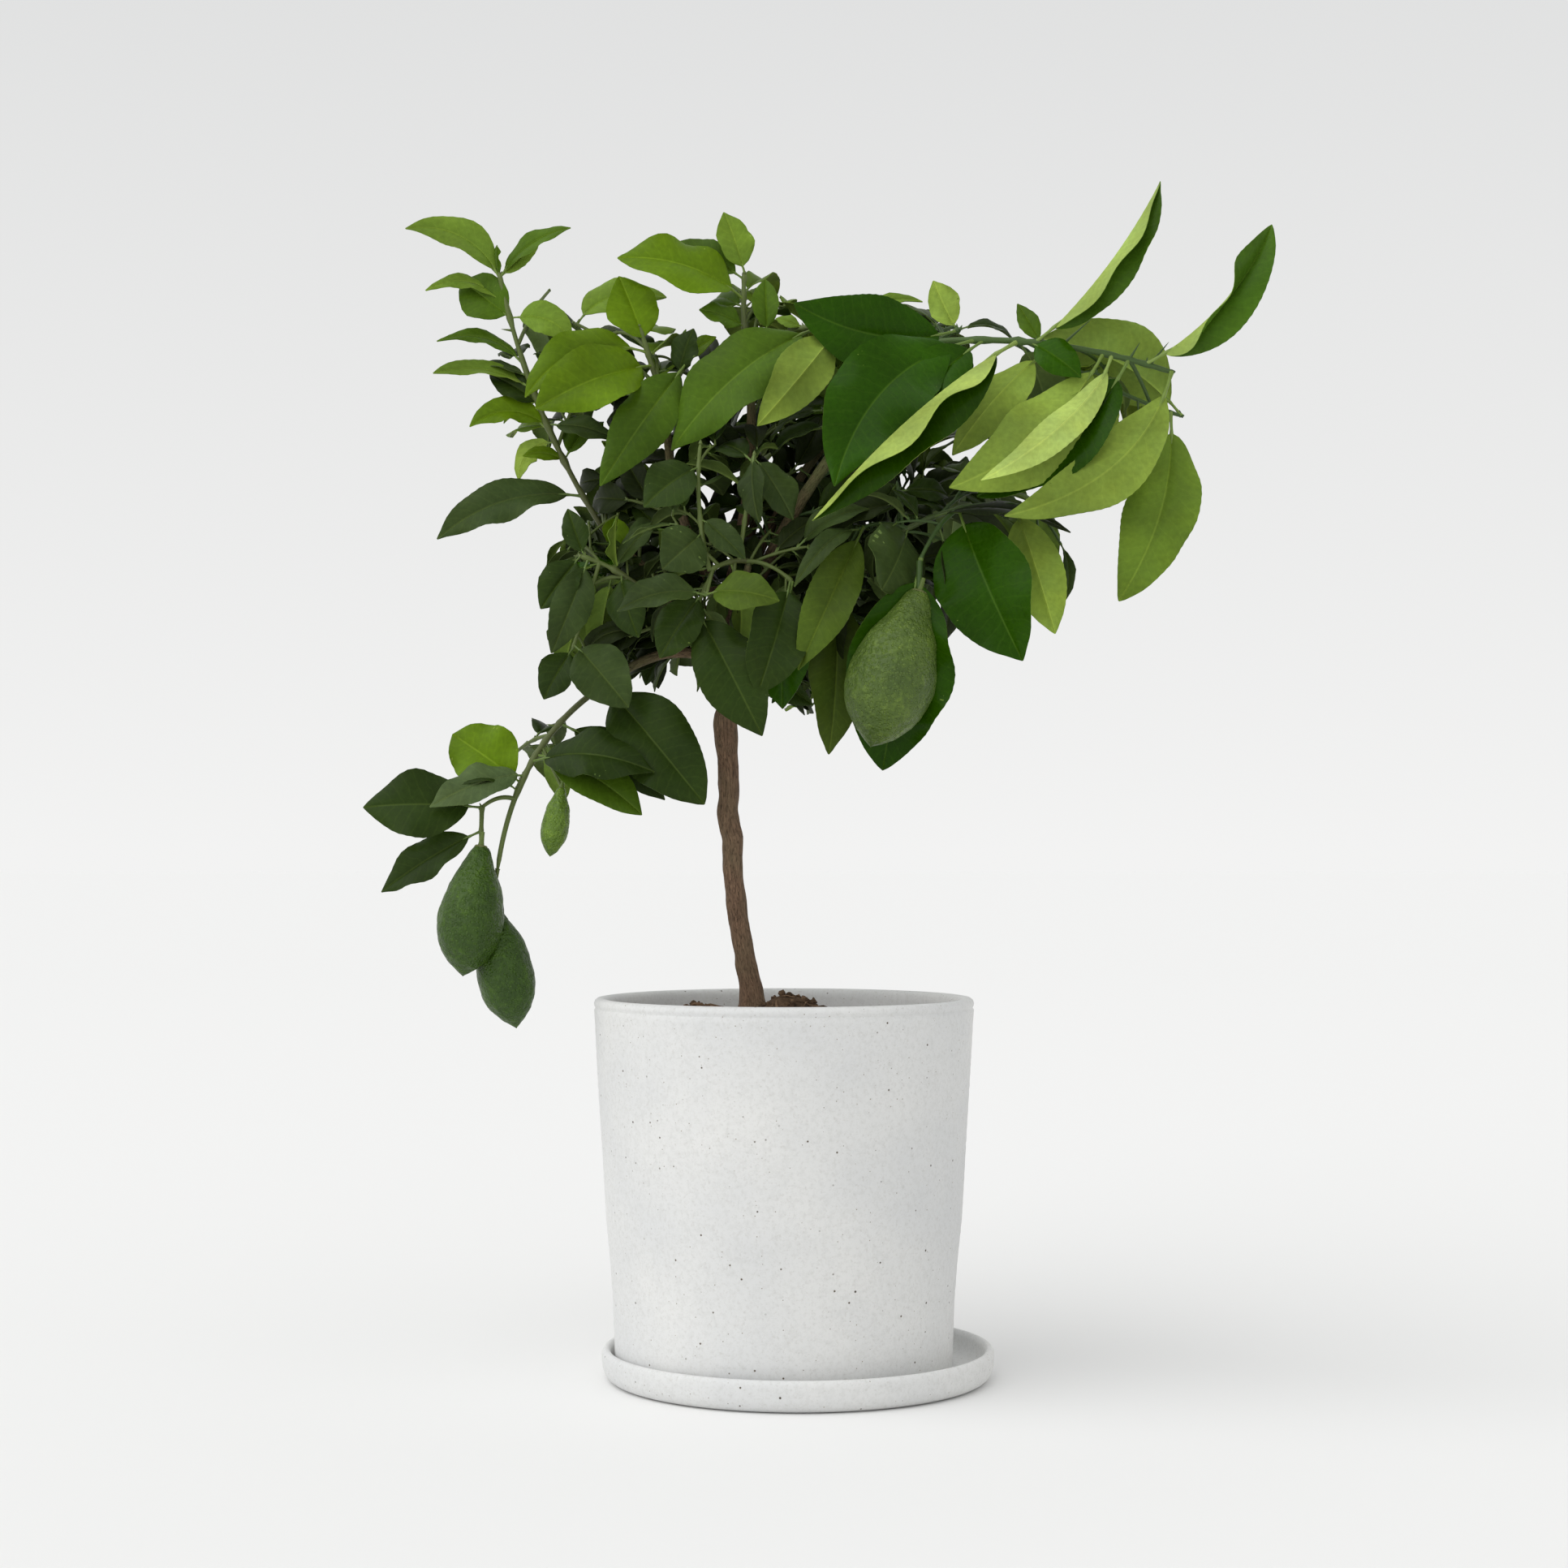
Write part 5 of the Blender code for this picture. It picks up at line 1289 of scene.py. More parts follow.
def add_blade(sheaf, leaf, root, tone, fold, droop, chance):
    """A leaf's blade: two sheets and the rim between them, with its midrib, veins and waved edge."""
    length = Vector(leaf.reach).length
    stations = int(np.clip(length / BLADE_STEP, *BLADE_STATIONS))
    blade = np.linspace(0, 1, stations)
    points, side, up = blade_frames(leaf, root, STALK_SHARE + (1 - STALK_SHARE) * blade, droop)
    halves = blade_outline(leaf, blade, chance)
    flip = -1 if tone.under else 1
    curl = flip * chance.uniform(*CURL_VARIES)
    offsets, normals, shares = zip(*(
        half_blade(sign, half, bent, blade, side, up, flip, curl, chance)
        for sign, half, bent in zip((-1, 1), halves, fold)
    ))
    middle = points[:, None] + np.concatenate(offsets, 1)
    normal, share = np.concatenate(normals, 1), np.concatenate(shares)
    veins = round(length / VEIN_SPACING) + 3
    phase = blade[:, None] * veins - VEIN_SWEEP * np.abs(share)
    relief = VEIN_RELIEF * np.abs(np.sin(np.pi * phase)) * (4 * np.abs(share) * (1 - np.abs(share))) ** 0.5
    rib = np.where(share == 0, 1.0, 0.0) * (RIB_DEPTH * (1 - blade) ** 0.6 + RIB_AT_TIP)[:, None]
    upper = middle + normal * (flip * (relief + SHEET_HALF - RIB_GROOVE * rib))[..., None]
    lower = middle + normal * (flip * (relief - SHEET_HALF - rib))[..., None]
    width = np.where(share < 0, halves[0][:, None], halves[1][:, None])
    marks = np.stack([width * share, phase, np.full(phase.shape, length / veins)], -1).reshape(-1, 3)
    faces = np.array(grid_faces(stations, len(share)))
    faces = faces[:, ::-1] if tone.under else faces
    dim = 1 + chance.uniform(-TONE_VARIES, TONE_VARIES)
    sheets = ((upper, faces, tone.upper, tone.rough), (lower, faces[:, ::-1], tone.lower, LOWER_ROUGH))
    for kind, (sheet, turned, colour, rough) in enumerate(sheets):
        sheaf.add(sheet, turned.tolist(), kind, (*(c * dim for c in linear(colour)), rough), marks)
    sheaf.join(blade_rim(stations, len(share), tone.under), 1, sheaf.count - len(marks))


def add_leaf(sheaf, leaf, root, seat, by_rule, chance):
    """A whole leaf: its blade and the stalk that joins it to its twig's middle line at the seat."""
    tone = TONES[leaf.tone]
    more = chance.uniform(0, FOLD_VARIES[by_rule])
    fold = FOLDS.get(leaf.tone, tuple((low + more, high + more) for low, high in PLAIN_FOLD))
    droop = chance.uniform(*TIP_DROOPS) if by_rule else 0.0
    add_blade(sheaf, leaf, root, tone, fold, droop, chance)
    shares = np.linspace(0, STALK_SHARE * STALK_OVERLAP, len(STALK_RADII))
    path, _, _ = blade_frames(leaf, root, shares)
    fade = 1 - shares[:, None] / shares[-1]
    path = path + (np.asarray(seat, float) - np.asarray(root, float)) * fade
    radii = np.array(STALK_RADII) * math.sqrt(Vector(leaf.reach).length / STALK_RADII_LEAF)
    hue = blend(linear(tone.lower), linear(STALK_GREEN), 0.5)
    sheaf.add_tube(path, radii, STALK_SIDES, (*hue, STALK_ROUGH), 2)


def attachments(leaves, lines):
    """For each of some leaves the nearest point on some smooth lines, with its line and station."""
    spots = [(i, k) for i, line in enumerate(lines) for k in range(len(line))]
    tree = nearest_of([lines[i][k] for i, k in spots])
    seats = []
    for _, root in leaves:
        place, number, away = tree.find(root)
        seats.append((place if away < SEAT_REACH else root, *spots[number]))
    return seats


def add_twig(sheaf, line, thick, joints, young, old):
    """A twig: a tapered tube that swells at its leaves' joints and turns from bark to green."""
    along = lengths_along(line)
    share = along / along[-1]
    radii = thick * (1 - (1 - SHOOT_TAPER) * share)
    for station in joints:
        radii = radii * (1 + JOINT_SWELL * np.exp(-(((along - along[station]) / JOINT_HALF) ** 2)))
    radii[-1] *= TWIG_END
    mix = np.repeat(np.clip(share * 1.3 - 0.1, 0, 1), TWIG_SIDES)[:, None]
    hue = np.asarray(old) * (1 - mix) + np.asarray(young) * mix
    sheaf.add_tube(line, radii, TWIG_SIDES, np.hstack([hue, np.full((len(hue), 1), TWIG_ROUGH)]))


def add_spike(sheaf, root, way, thick, hue):
    """A thorn or bud: a short tube that narrows to a point."""
    path = [np.asarray(root, float) + np.asarray(way, float) * share for share, _ in SPIKE]
    sheaf.add_tube(path, [radius * thick for _, radius in SPIKE], SPIKE_SIDES, (*hue, STALK_ROUGH))


def add_mass_twigs(sheaf, clump, limb, lines, seats):
    """All of a mass's twigs, its stem drawn from inside its bough, with their buds and thorns."""
    green = linear(GREEN_SHOOT[clump.mass.centre[0] > GREEN_RIGHT_OF])
    brown = blend(linear(GREEN_BARK), linear(BROWN_SHOOT), BOUGHS[clump.mass.bough].green)
    for number, (line, thick) in enumerate(zip(lines, clump.thick)):
        joints = [k for _, i, k in seats if i == number]
        if number == 0:
            line = np.vstack([np.asarray(limb[-1] + (limb[-2] - limb[-1]) * STEM_INSIDE), line])
            joints = [k + 1 for k in joints]
        add_twig(sheaf, line, thick, joints, green, brown if number == 0 else green)
        add_spike(sheaf, line[-1], (line[-1] - line[-2]) * 0.5 + (0, 0, 1), thick * 0.9, green)
    for (leaf, _), (seat, _, _) in zip(clump.leaves, seats):
        along, _, _ = leaf_axes(leaf)
        add_spike(sheaf, seat, (along * 0.5 + UP) * BUD_LENGTH, BUD_THICK, green)
    for node, shoot, at, way in THORNS:
        if node == clump.node:
            add_spike(sheaf, along_path(clump.paths[shoot], at)[0], way, THORN_THICK, green)


def deal_tone(mass, chance):
    """A tone for a leaf that the rule placed."""
    # The set for the front leans to the shadowed tone, painted shade of the crown above
    if mass.centre[1] > FRONT_DEPTH:
        return chance.choice(RULED_TONES["back"])
    return chance.choice(RULED_TONES["high" if mass.centre[2] > HIGH_ABOVE else "front"])


def add_mass_leaves(sheaf, clump, seats, chance):
    """All of a mass's leaves. A leaf of the rule mostly takes the tone of the one before it."""
    spray = deal_tone(clump.mass, chance)
    for (leaf, root), (seat, _, _) in zip(clump.leaves, seats):
        by_rule = leaf.tone in ("", "inner")
        # Leaves of the inner twigs take the inner set, mostly the shadowed tone: painted shade of the crown's
        # inside
        if leaf.tone == "inner":
            leaf = leaf._replace(tone=chance.choice(RULED_TONES["inner"]))
        elif by_rule:
            spray = spray if chance.random() < SAME_IN_SPRAY else deal_tone(clump.mass, chance)
            leaf = leaf._replace(tone=spray)
        add_leaf(sheaf, leaf, root, seat, by_rule, chance)


def foliage(clumps, limbs):
    """The leaves of each region and all the twigs, each kind joined into pieces."""
    materials = [leaf_material("leaf_upper", 0.5), leaf_material("leaf_lower", 0.4), stalk_material()]
    twigs = Sheaf()
    for region, nodes in REGIONS.items():
        leaves = Sheaf()
        for node in nodes:
            clump = clumps[node]
            lines = [
                smooth_path(path, TWIG_STATIONS if thick > INNER.thick else FINE_STATIONS)
                for path, thick in zip(clump.paths, clump.thick)
            ]
            seats = attachments(clump.leaves, lines)
            add_mass_leaves(leaves, clump, seats, random.Random(node))
            add_mass_twigs(twigs, clump, limbs[clump.mass.bough], lines, seats)
        leaves.piece("leaves_" + region, materials, "leaf", nodes)
    add_fruit_stalks(twigs, clumps)
    twigs.piece("twigs", [stalk_material()], "bark", list(MASSES))


def add_fruit_stalks(sheaf, clumps):
    """The thicker last stretch of each fruit's stalk, down into its calyx."""
    for clump in clumps.values():
        for top, axis, wide in clump.fruit:
            thick = 0.8 + wide * 0.022
            path = [np.asarray(top - axis.normalized() * height) for height, _ in FRUIT_STALK_ROWS]
            radii = np.array([radius for _, radius in FRUIT_STALK_ROWS]) * thick * 0.62
            sheaf.add_tube(path, radii, TWIG_SIDES, (*linear(FRUIT_STALK), STALK_ROUGH))


def fruit_pieces(clumps):
    """The lemons: turned from a smooth profile, with an uneven, pitted peel, and a calyx on each."""
    lemons, calyxes = Sheaf(), Sheaf()
    tones = iter(FRUIT_TONES)
    for clump in clumps.values():
        for top, axis, wide in clump.fruit:
            add_lemon(lemons, top, axis, wide, next(tones))
            add_calyx(calyxes, top, axis, wide)
    nodes = [clump.node for clump in clumps.values() if clump.fruit]
    lemons.piece("lemons", [peel_material()], "fruit", nodes, 180)
    calyxes.piece("calyxes", [stalk_material()], "bark", nodes)


def hanging(axis):
    """The turn that brings straight down onto a fruit's axis."""
    return Vector((0, 0, -1)).rotation_difference(axis.normalized()).to_matrix()


def peel_relief(place, wide):
    """How far a lemon's peel stands out at a place: broad lumps and small ones, less its pits."""
    lump = noise.noise(place * 0.07 + Vector((wide, 0, 0))) * 0.9
    lump += noise.noise(place * 0.22 + Vector((0, wide, 0))) * 0.35
    pit = max(0.0, noise.noise(place * 0.75) - 0.05) * 0.55
    return lump - pit


def add_lemon(sheaf, top, axis, wide, tone):
    """One lemon, with its neck, its pointed end and the small dents of its peel."""
    line = smooth_line(LEMON_PROFILE, LEMON_SPAN)
    turn = hanging(axis)
    points = []
    for share, radius in zip(line[:, 0], np.maximum(line[:, 1], 0.02) * wide / 2):
        for angle in round_steps(LEMON_RING):
            away = Vector((math.cos(angle), math.sin(angle), 0))
            place = Vector((away.x * radius, away.y * radius, -share * axis.length))
            place += away * peel_relief(place, wide) * min(1, radius / 4)
            points.append(top + turn @ place)
    sheaf.add(points, closed_rings(len(line), LEMON_RING, True), 0, ink(tone))


def add_calyx(sheaf, top, axis, wide):
    """The small lobed cap between a lemon and its stalk."""
    size = wide * CALYX_SHARE
    turn = hanging(axis)
    points = []
    for spread, height in CALYX_ROWS:
        for angle in round_steps(CALYX_STEPS):
            lobe = 0.80 + 0.20 * abs(math.cos(2.5 * angle))
            radius = size * spread * lobe
            place = Vector((radius * math.cos(angle), radius * math.sin(angle), height * size * 0.3))
            points.append(top + turn @ place)
    faces = closed_rings(len(CALYX_ROWS), CALYX_STEPS, True)
    sheaf.add(points, faces, 0, (*linear(CALYX), CALYX_ROUGH))


def wood_lines(limbs):
    """The middle line and radii of the trunk and of each bough, drawn from inside what carries them."""
    knots = smooth_line(TRUNK, 6)
    knots = np.vstack([knots[0] - (0, 0, FOOT_SUNK, 0), knots])
    lines = [(knots[:, :3], knots[:, 3])]
    for name, path in limbs.items():
        bough = BOUGHS[name]
        line = smooth_path(path, BOUGH_STATIONS)
        radii = np.linspace(bough.thick, bough.thin, len(line))
        if bough.height is None:
            root = np.asarray(TRUNK[-1][:3], float)
            line, radii = np.vstack([root, line]), np.concatenate([[TRUNK[-1][3] * 0.95], radii])
        else:
            low, _ = trunk_at(bough.height - COLLAR_DROP)
            middle = (np.asarray(low, float) + line[0]) / 2 + (0, 0, 1.0)
            line = np.vstack([low, middle, line])
            radii = np.concatenate([[bough.thick * COLLAR_SWELL] * 2, radii])
        lines.append((line, radii))
    return lines


def wood(limbs):
    """The trunk and boughs grown into one skin, with the relief of their bark."""
    sheaf = Sheaf()
    lines = wood_lines(limbs)
    for line, radii in lines:
        sheaf.add_tube(line, radii, LIMB_SIDES)
    made = in_scene("wood", sheaf.mesh("rough_wood"))
    remesh = made.modifiers.new("skin", "REMESH")
    remesh.mode = "VOXEL"
    remesh.voxel_size = WOOD_VOXEL * MM
    smooth = made.modifiers.new("soften", "SMOOTH")
    smooth.iterations = WOOD_SOFTENED
    smooth.factor = 0.5
    depsgraph = bpy.context.evaluated_depsgraph_get()
    mesh = bpy.data.meshes.new_from_object(made.evaluated_get(depsgraph))
    made.modifiers.clear()
    made.data = mesh
    bark_relief(mesh, limb_spots(lines))
    mesh.materials.append(bark_material())
    mesh.shade_smooth()
    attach(made, "root")
    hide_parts("trunk", *BOUGHS)


def limb_spots(lines):
    """Each station of the trunk and boughs: its place, its directions, its length along, how green it is."""
    greens = [0.0] + [bough.green for bough in BOUGHS.values()]
    spots = []
    for (line, _), green in zip(lines, greens):
        headings = unit(np.gradient(line, axis=0))
        side = unit(np.cross(headings, (0.3, 0.9, 0.2)))
        along = lengths_along(line)
        young = green * np.clip(along / along[-1] * 1.6 - 0.3, 0, 1)
        spots += list(zip(line, headings, side, np.cross(headings, side), along, young))
    return spots


def bark_rise(mark):
    """How far the bark stands out at a place on its limb: long low ridges and broad lumps."""
    ridge = noise.noise(Vector((mark.x * 0.55, mark.y * 0.55, mark.z * 0.09)))
    lump = noise.noise(Vector((mark.x * 0.2, mark.y * 0.2, mark.z * 0.14)) + Vector((7, 3, 1)))
    return (0.42 * ridge + 0.5 * lump) * min(1.0, math.hypot(mark.x, mark.y) / 5)


def bark_relief(mesh, spots):
    """Raises the bark's relief, and marks each point with its place on its limb and how green it is."""
    tree = nearest_of([spot[0] for spot in spots])
    places, marks, greens = [], [], []
    for vertex, normal in zip(mesh.vertices, mesh.vertex_normals):
        point = vertex.co / MM
        middle, heading, side, other, along, young = spots[tree.find(point)[1]]
        away = np.asarray(point, float) - middle
        mark = Vector((away.dot(side), away.dot(other), along + away.dot(heading)))
        places.append(vertex.co + normal.vector * (bark_rise(mark) * MM))
        marks.append(mark)
        greens.append(young)
    mesh.vertices.foreach_set("co", np.array(places, np.float32).ravel())
    store(mesh, "young", "FLOAT", "value", greens)
    store(mesh, "marks", "FLOAT_VECTOR", "vector", marks)
    mesh.update()


def turned_piece(name, profile, centre, wobble, node):
    """A turned vessel with the small unevenness of something thrown by hand."""
    angles = np.arange(TURNED_FINE) * 2 * math.pi / TURNED_FINE
    points = []
    for radius, height in np.asarray(profile, float):
        ripple = wobble * 0.22 * math.sin(height * 1.35) * math.sin(height * 0.21 + 1)
        ripple = ripple if height >= THROWN_FROM else 0.0
        drift = [noise.noise(Vector((math.cos(a), math.sin(a), height * 0.012)) * 1.3) for a in angles]
        grown = radius * (1 + (wobble * np.array(drift) + ripple) / 100 * min(1.0, radius / 20))
        ring = [grown * np.cos(angles), grown * np.sin(angles), np.full(TURNED_FINE, height)]
        points.append(np.stack(ring, 1))
    sheaf = Sheaf()
    sheaf.add(np.vstack(points) + (*centre, 0), closed_rings(len(profile), TURNED_FINE))
    sheaf.piece(name, [stoneware_material()], "stoneware", [node], 50)


def rounded(corners, radius, steps=4):
    """A profile with its corners rounded by short arcs."""
    corners = [np.asarray(c, float) for c in corners]
    line = [corners[0]]
    for before, corner, after in zip(corners, corners[1:], corners[2:]):
        back, on = before - corner, after - corner
        reach = min(radius, np.linalg.norm(back) / 2.1, np.linalg.norm(on) / 2.1)
        start, end = corner + unit(back) * reach, corner + unit(on) * reach
        for t in np.linspace(0, 1, steps + 1):
            line.append(start * (1 - t) ** 2 + corner * 2 * t * (1 - t) + end * t**2)
    line.append(corners[-1])
    return line


def pot():
    """The pot: from the middle of its foot up its side, over the rim and down inside to below the soil."""
    side = [(pot_radius(z), z) for z in np.arange(12.0, POT_TOP_Z - 10, 2.2)]
    side = [(radius + 0.05 * math.sin(z * 0.9), z) for radius, z in side]
    lip = [(POT_RIM_RADIUS + out, POT_TOP_Z + up) for out, up in POT_LIP]
    foot = [(0.01, POT_FOOT_Z), (60.0, POT_FOOT_Z), (86.6, POT_FOOT_Z), (88.0, 6.2), (88.8, 8.2)]
    inside = [(pot_radius(z) - POT_WALL, z) for z in (190.0, 180.0, 150.0, 110.0, 60.0, 26.0)]
    inside += [(80.0, POT_FLOOR_Z + 0.4), (60.0, POT_FLOOR_Z), (0.01, POT_FLOOR_Z)]
    turned_piece("pot_glazed", foot + side + lip + inside, (0, 0), POT_WOBBLE, "pot")


def saucer():
    """The saucer: a shallow dish with a soft rim, a low step inside and a narrow foot."""
    outer, inner = SAUCER_RADIUS, SAUCER_RADIUS - SAUCER_WALL
    corners = [
        (0.01, 0.35), (outer - 14.0, 0.35), (outer - 13.0, 0.0), (outer - 7.0, 0.0), (outer - 3.0, 1.6),
        (outer - 0.6, 5.5), (outer, 11.0), (outer - 0.2, SAUCER_HEIGHT - 1.6), (outer - 1.6, SAUCER_HEIGHT),
        (inner + 1.4, SAUCER_HEIGHT), (inner, SAUCER_HEIGHT - 2.0), (inner - 0.8, SAUCER_FLOOR + 3.4),
        (inner - 4.0, SAUCER_FLOOR), (0.01, SAUCER_FLOOR),
    ]
    turned_piece("saucer_glazed", rounded(corners, 2.2), SAUCER_CENTRE, SAUCER_WOBBLE, "saucer")


def soil():
    """The potting soil: a heaped top of crumbs and fibres over a plain body."""
    edge = pot_radius(SOIL_Z) - POT_WALL - GAP - 0.4
    rings = [(edge * (ring + 0.4) / (SOIL_RINGS - 0.6), None) for ring in range(SOIL_RINGS)]
    rings.append((pot_radius(110) - POT_WALL - 0.5, 110.0))
    rings.append((pot_radius(POT_FLOOR_Z) - POT_WALL - 3.3, POT_FLOOR_Z + GAP))
    points = []
    for radius, height in rings:
        for angle in round_steps(SOIL_STEPS):
            x, y = radius * math.cos(angle), radius * math.sin(angle)
            points.append((x, y, soil_top(x, y) if height is None else height))
    sheaf = Sheaf()
    sheaf.add(points, closed_rings(len(rings), SOIL_STEPS, True))
    chance = random.Random(SEED)
    for _ in range(SOIL_CRUMBS):
        add_crumb(sheaf, chance, edge)
    for _ in range(SOIL_FIBRES):
        add_fibre(sheaf, chance, edge)
    sheaf.piece("soil_loose", [soil_material()], "soil", ["soil"], 40)


def soil_top(x, y):
    """The height of the loose soil's surface, which has sunk a little behind its two front heaps."""
    place = Vector((x, y, 0))
    rise = noise.noise(place * 0.16) * 1.3 + noise.noise(place * 0.5) * 0.8 + noise.noise(place * 1.1) * 0.4
    sunk = SOIL_SUNK * min(1.0, max(0.0, (y - SOIL_SINKS_FROM) / SOIL_SINKS_OVER))
    return soil_height(x, y) + rise - sunk


def on_soil(chance, edge):
    """A random place on the soil, inside the pot's wall and off the trunk."""
    trunk_x, trunk_y = TRUNK[0][:2]
    while True:
        x, y = chance.uniform(-edge, edge), chance.uniform(-edge, edge)
        if math.hypot(x, y) < edge - 3 and math.hypot(x - trunk_x, y - trunk_y) > CLEAR_OF_TRUNK:
            return Vector((x, y, soil_top(x, y)))


def add_crumb(sheaf, chance, edge):
    """One crumb of soil: a small lumpy ball half sunk in the surface."""
    size = chance.uniform(*CRUMB_SIZE)
    place = on_soil(chance, edge) + Vector((0, 0, size * 0.2))
    shift = Vector((chance.uniform(0, 99), 0, 0))
    points = []
    for ring in range(CRUMB_RINGS):
        tilt = math.pi * (ring + 0.5) / CRUMB_RINGS
        for angle in round_steps(CRUMB_STEPS):
            way = Vector((math.sin(tilt) * math.cos(angle), math.sin(tilt) * math.sin(angle), math.cos(tilt)))
            points.append(place + way * size * (0.8 + 0.55 * noise.noise(way * 1.6 + shift)))
    shade = chance.uniform(*CRUMB_SHADE)
    sheaf.add(points, closed_rings(CRUMB_RINGS, CRUMB_STEPS, True), 0, (shade, shade, shade, 1))


def add_fibre(sheaf, chance, edge):
    """One fibre or chip of bark lying on the soil."""
    start = on_soil(chance, edge)
    angle, length = chance.uniform(0, 2 * math.pi), chance.uniform(*FIBRE_LENGTH)
    bend = chance.uniform(-FIBRE_BEND, FIBRE_BEND)
    path = []
    for share in (0, 0.25, 0.5, 0.75, 1.0):
        turn = angle + bend * share
        x, y = start.x + length * share * math.cos(turn), start.y + length * share * math.sin(turn)
        if math.hypot(x, y) > edge - 2:
            return
        path.append((x, y, soil_top(x, y) + 0.5 + 2.4 * share * (1 - share)))
    thick = chance.choice(FIBRE_THICK)
    shade = chance.uniform(*FIBRE_SHADE)
    sheaf.add_tube(path, np.array([0.5, 1, 1, 0.9, 0.4]) * thick, 6, (shade, shade, shade, 1))


class Paint:
    """A material's nodes, added one at a time."""

    def __init__(self, name, roughness=0.5, specular=0.5):
        self.material = bpy.data.materials.new(name)
        self.material.use_nodes = True
        self.tree = self.material.node_tree
        self.shader = self.tree.nodes["Principled BSDF"]
        self.shader.inputs["Roughness"].default_value = roughness
        self.shader.inputs["Specular IOR Level"].default_value = specular

    def put(self, socket, value):
        """Sets a socket to a number or colour, or links it to another socket."""
        if isinstance(value, bpy.types.NodeSocket):
            self.tree.links.new(value, socket)
        else:
            socket.default_value = value

    def node(self, kind, inputs=(), **settings):
        """A node, with its inputs by name or number."""
        made = self.tree.nodes.new("ShaderNode" + kind)
        for name, value in settings.items():
            setattr(made, name, value)
        for name, value in dict(inputs).items():
            self.put(made.inputs[name], value)
        return made

    def math(self, operation, a, b=0.0):
        """The result of an operation on numbers or sockets."""
        return self.node("Math", {0: a, 1: b}, operation=operation).outputs[0]

    def plus(self, a, b):
        """A sum of numbers or sockets."""
        return self.math("ADD", a, b)

    def times(self, a, b):
        """A product of numbers or sockets."""
        return self.math("MULTIPLY", a, b)

    def mix(self, factor, a, b, kind="MIX"):
        """A mix of two colours."""
        return self.node("Mix", {0: factor, 6: a, 7: b}, data_type="RGBA", blend_type=kind).outputs[2]

    def tinted(self, factor, colour, tint):
        """A colour multiplied by a tint, as far as the factor says."""
        return self.mix(factor, colour, tint, "MULTIPLY")

    def between(self, value, low, high, to_low=0.0, to_high=1.0):
        """A value brought from one range to another, and held inside it."""
        names = {"Value": value, "From Min": low, "From Max": high, "To Min": to_low, "To Max": to_high}
        return self.node("MapRange", names).outputs[0]

    def place(self):
        """The object's own coordinates."""
        return self.node("TexCoord").outputs["Object"]

    def scaled(self, vector, by):
        """A vector times another."""
        return self.node("VectorMath", {0: vector, 1: by}, operation="MULTIPLY").outputs[0]

    def noise(self, vector, scale, detail=2.0, rough=0.5):
        """Smooth noise from 0 to 1."""
        names = {"Vector": vector, "Scale": scale, "Detail": detail, "Roughness": rough}
        return self.node("TexNoise", names).outputs[0]

    def cells(self, vector, scale):
        """Cellular noise: the distance to the nearest centre, and that cell's random colour."""
        made = self.node("TexVoronoi", {"Vector": vector, "Scale": scale})
        return made.outputs["Distance"], made.outputs["Color"]

    def attribute(self, name):
        """A point attribute's node."""
        return self.node("Attribute", attribute_name=name)

    def split(self, vector):
        """A vector's three parts."""
        return tuple(self.node("SeparateXYZ", {0: vector}).outputs)

    def bump(self, height, strength, distance):
        """Fine relief on the surface, its depth in metres."""
        made = self.node("Bump", {"Height": height, "Strength": strength, "Distance": distance})
        self.put(self.shader.inputs["Normal"], made.outputs[0])

    def finish(self, colour, roughness=None):
        """The material with its colour, and with its roughness if that varies."""
        self.put(self.shader.inputs["Base Color"], colour)
        if roughness is not None:
            self.put(self.shader.inputs["Roughness"], roughness)
        return self.material


def leaf_material(name, vein_light):
    """A leaf's side: its own tone, mottled, with painted sheen and shade in broad patches, and its midrib and
    side veins.
    """
    paint = Paint(name, specular=0.08)
    hue, marks = paint.attribute("hue"), paint.attribute("marks")
    away, phase, spacing = paint.split(marks.outputs["Vector"])
    midrib = paint.between(paint.math("ABSOLUTE", away), 0.75, 0.2)
    place = paint.place()
    broad, fine = paint.noise(place, 55), paint.noise(place, 380, 3)
    strayed = paint.plus(phase, paint.between(paint.noise(place, 160), 0.2, 0.8, -0.25, 0.25))
    near = paint.math("FRACT", paint.plus(strayed, 0.5))
    near = paint.times(paint.math("ABSOLUTE", paint.math("SUBTRACT", near, 0.5)), spacing)
    veins = paint.math("MAXIMUM", midrib, paint.times(paint.between(near, 0.7, 0.05), 0.22))
    tone = paint.tinted(paint.between(broad, 0.3, 0.75, 0.0, 0.4), hue.outputs["Color"], (1.12, 1.0, 0.6, 1))
    shade = paint.between(fine, 0.25, 0.75, 0.86, 1.12)
    # Broad patches lighten and darken the blade: partly random tone, partly a painted sheen and painted shade
    # across it
    shade = paint.times(shade, paint.between(paint.noise(place, 26, 1), 0.32, 0.68, 0.78, 1.2))
    grey = paint.node("CombineColor", {0: shade, 1: shade, 2: shade}).outputs[0]
    tone = paint.tinted(1.0, tone, grey)
    light = paint.mix(0.12, paint.tinted(1.0, tone, (1.9, 1.7, 1.8, 1)), ink(VEIN_COLOUR))
    tone = paint.mix(paint.times(veins, vein_light), tone, light)
    rough = paint.plus(hue.outputs["Alpha"], paint.between(fine, 0.3, 0.7, -0.04, 0.06))
    paint.bump(paint.plus(paint.times(fine, 0.5), paint.times(veins, -0.6)), 0.35, 0.0003)
    return paint.finish(tone, rough)


@cache
def stalk_material():
    """Green and greenish-brown stalks in their own tone, faintly streaked."""
    paint = Paint("stalk", specular=0.4)
    hue = paint.attribute("hue")
    streak = paint.noise(paint.scaled(paint.attribute("marks").outputs["Vector"], (1, 1, 0.12)), 1.6, 3)
    streaked = paint.between(streak, 0.35, 0.7, 0.0, 0.45)
    tone = paint.tinted(streaked, hue.outputs["Color"], (0.62, 0.58, 0.5, 1))
    paint.bump(streak, 0.4, 0.0003)
    return paint.finish(tone, hue.outputs["Alpha"])


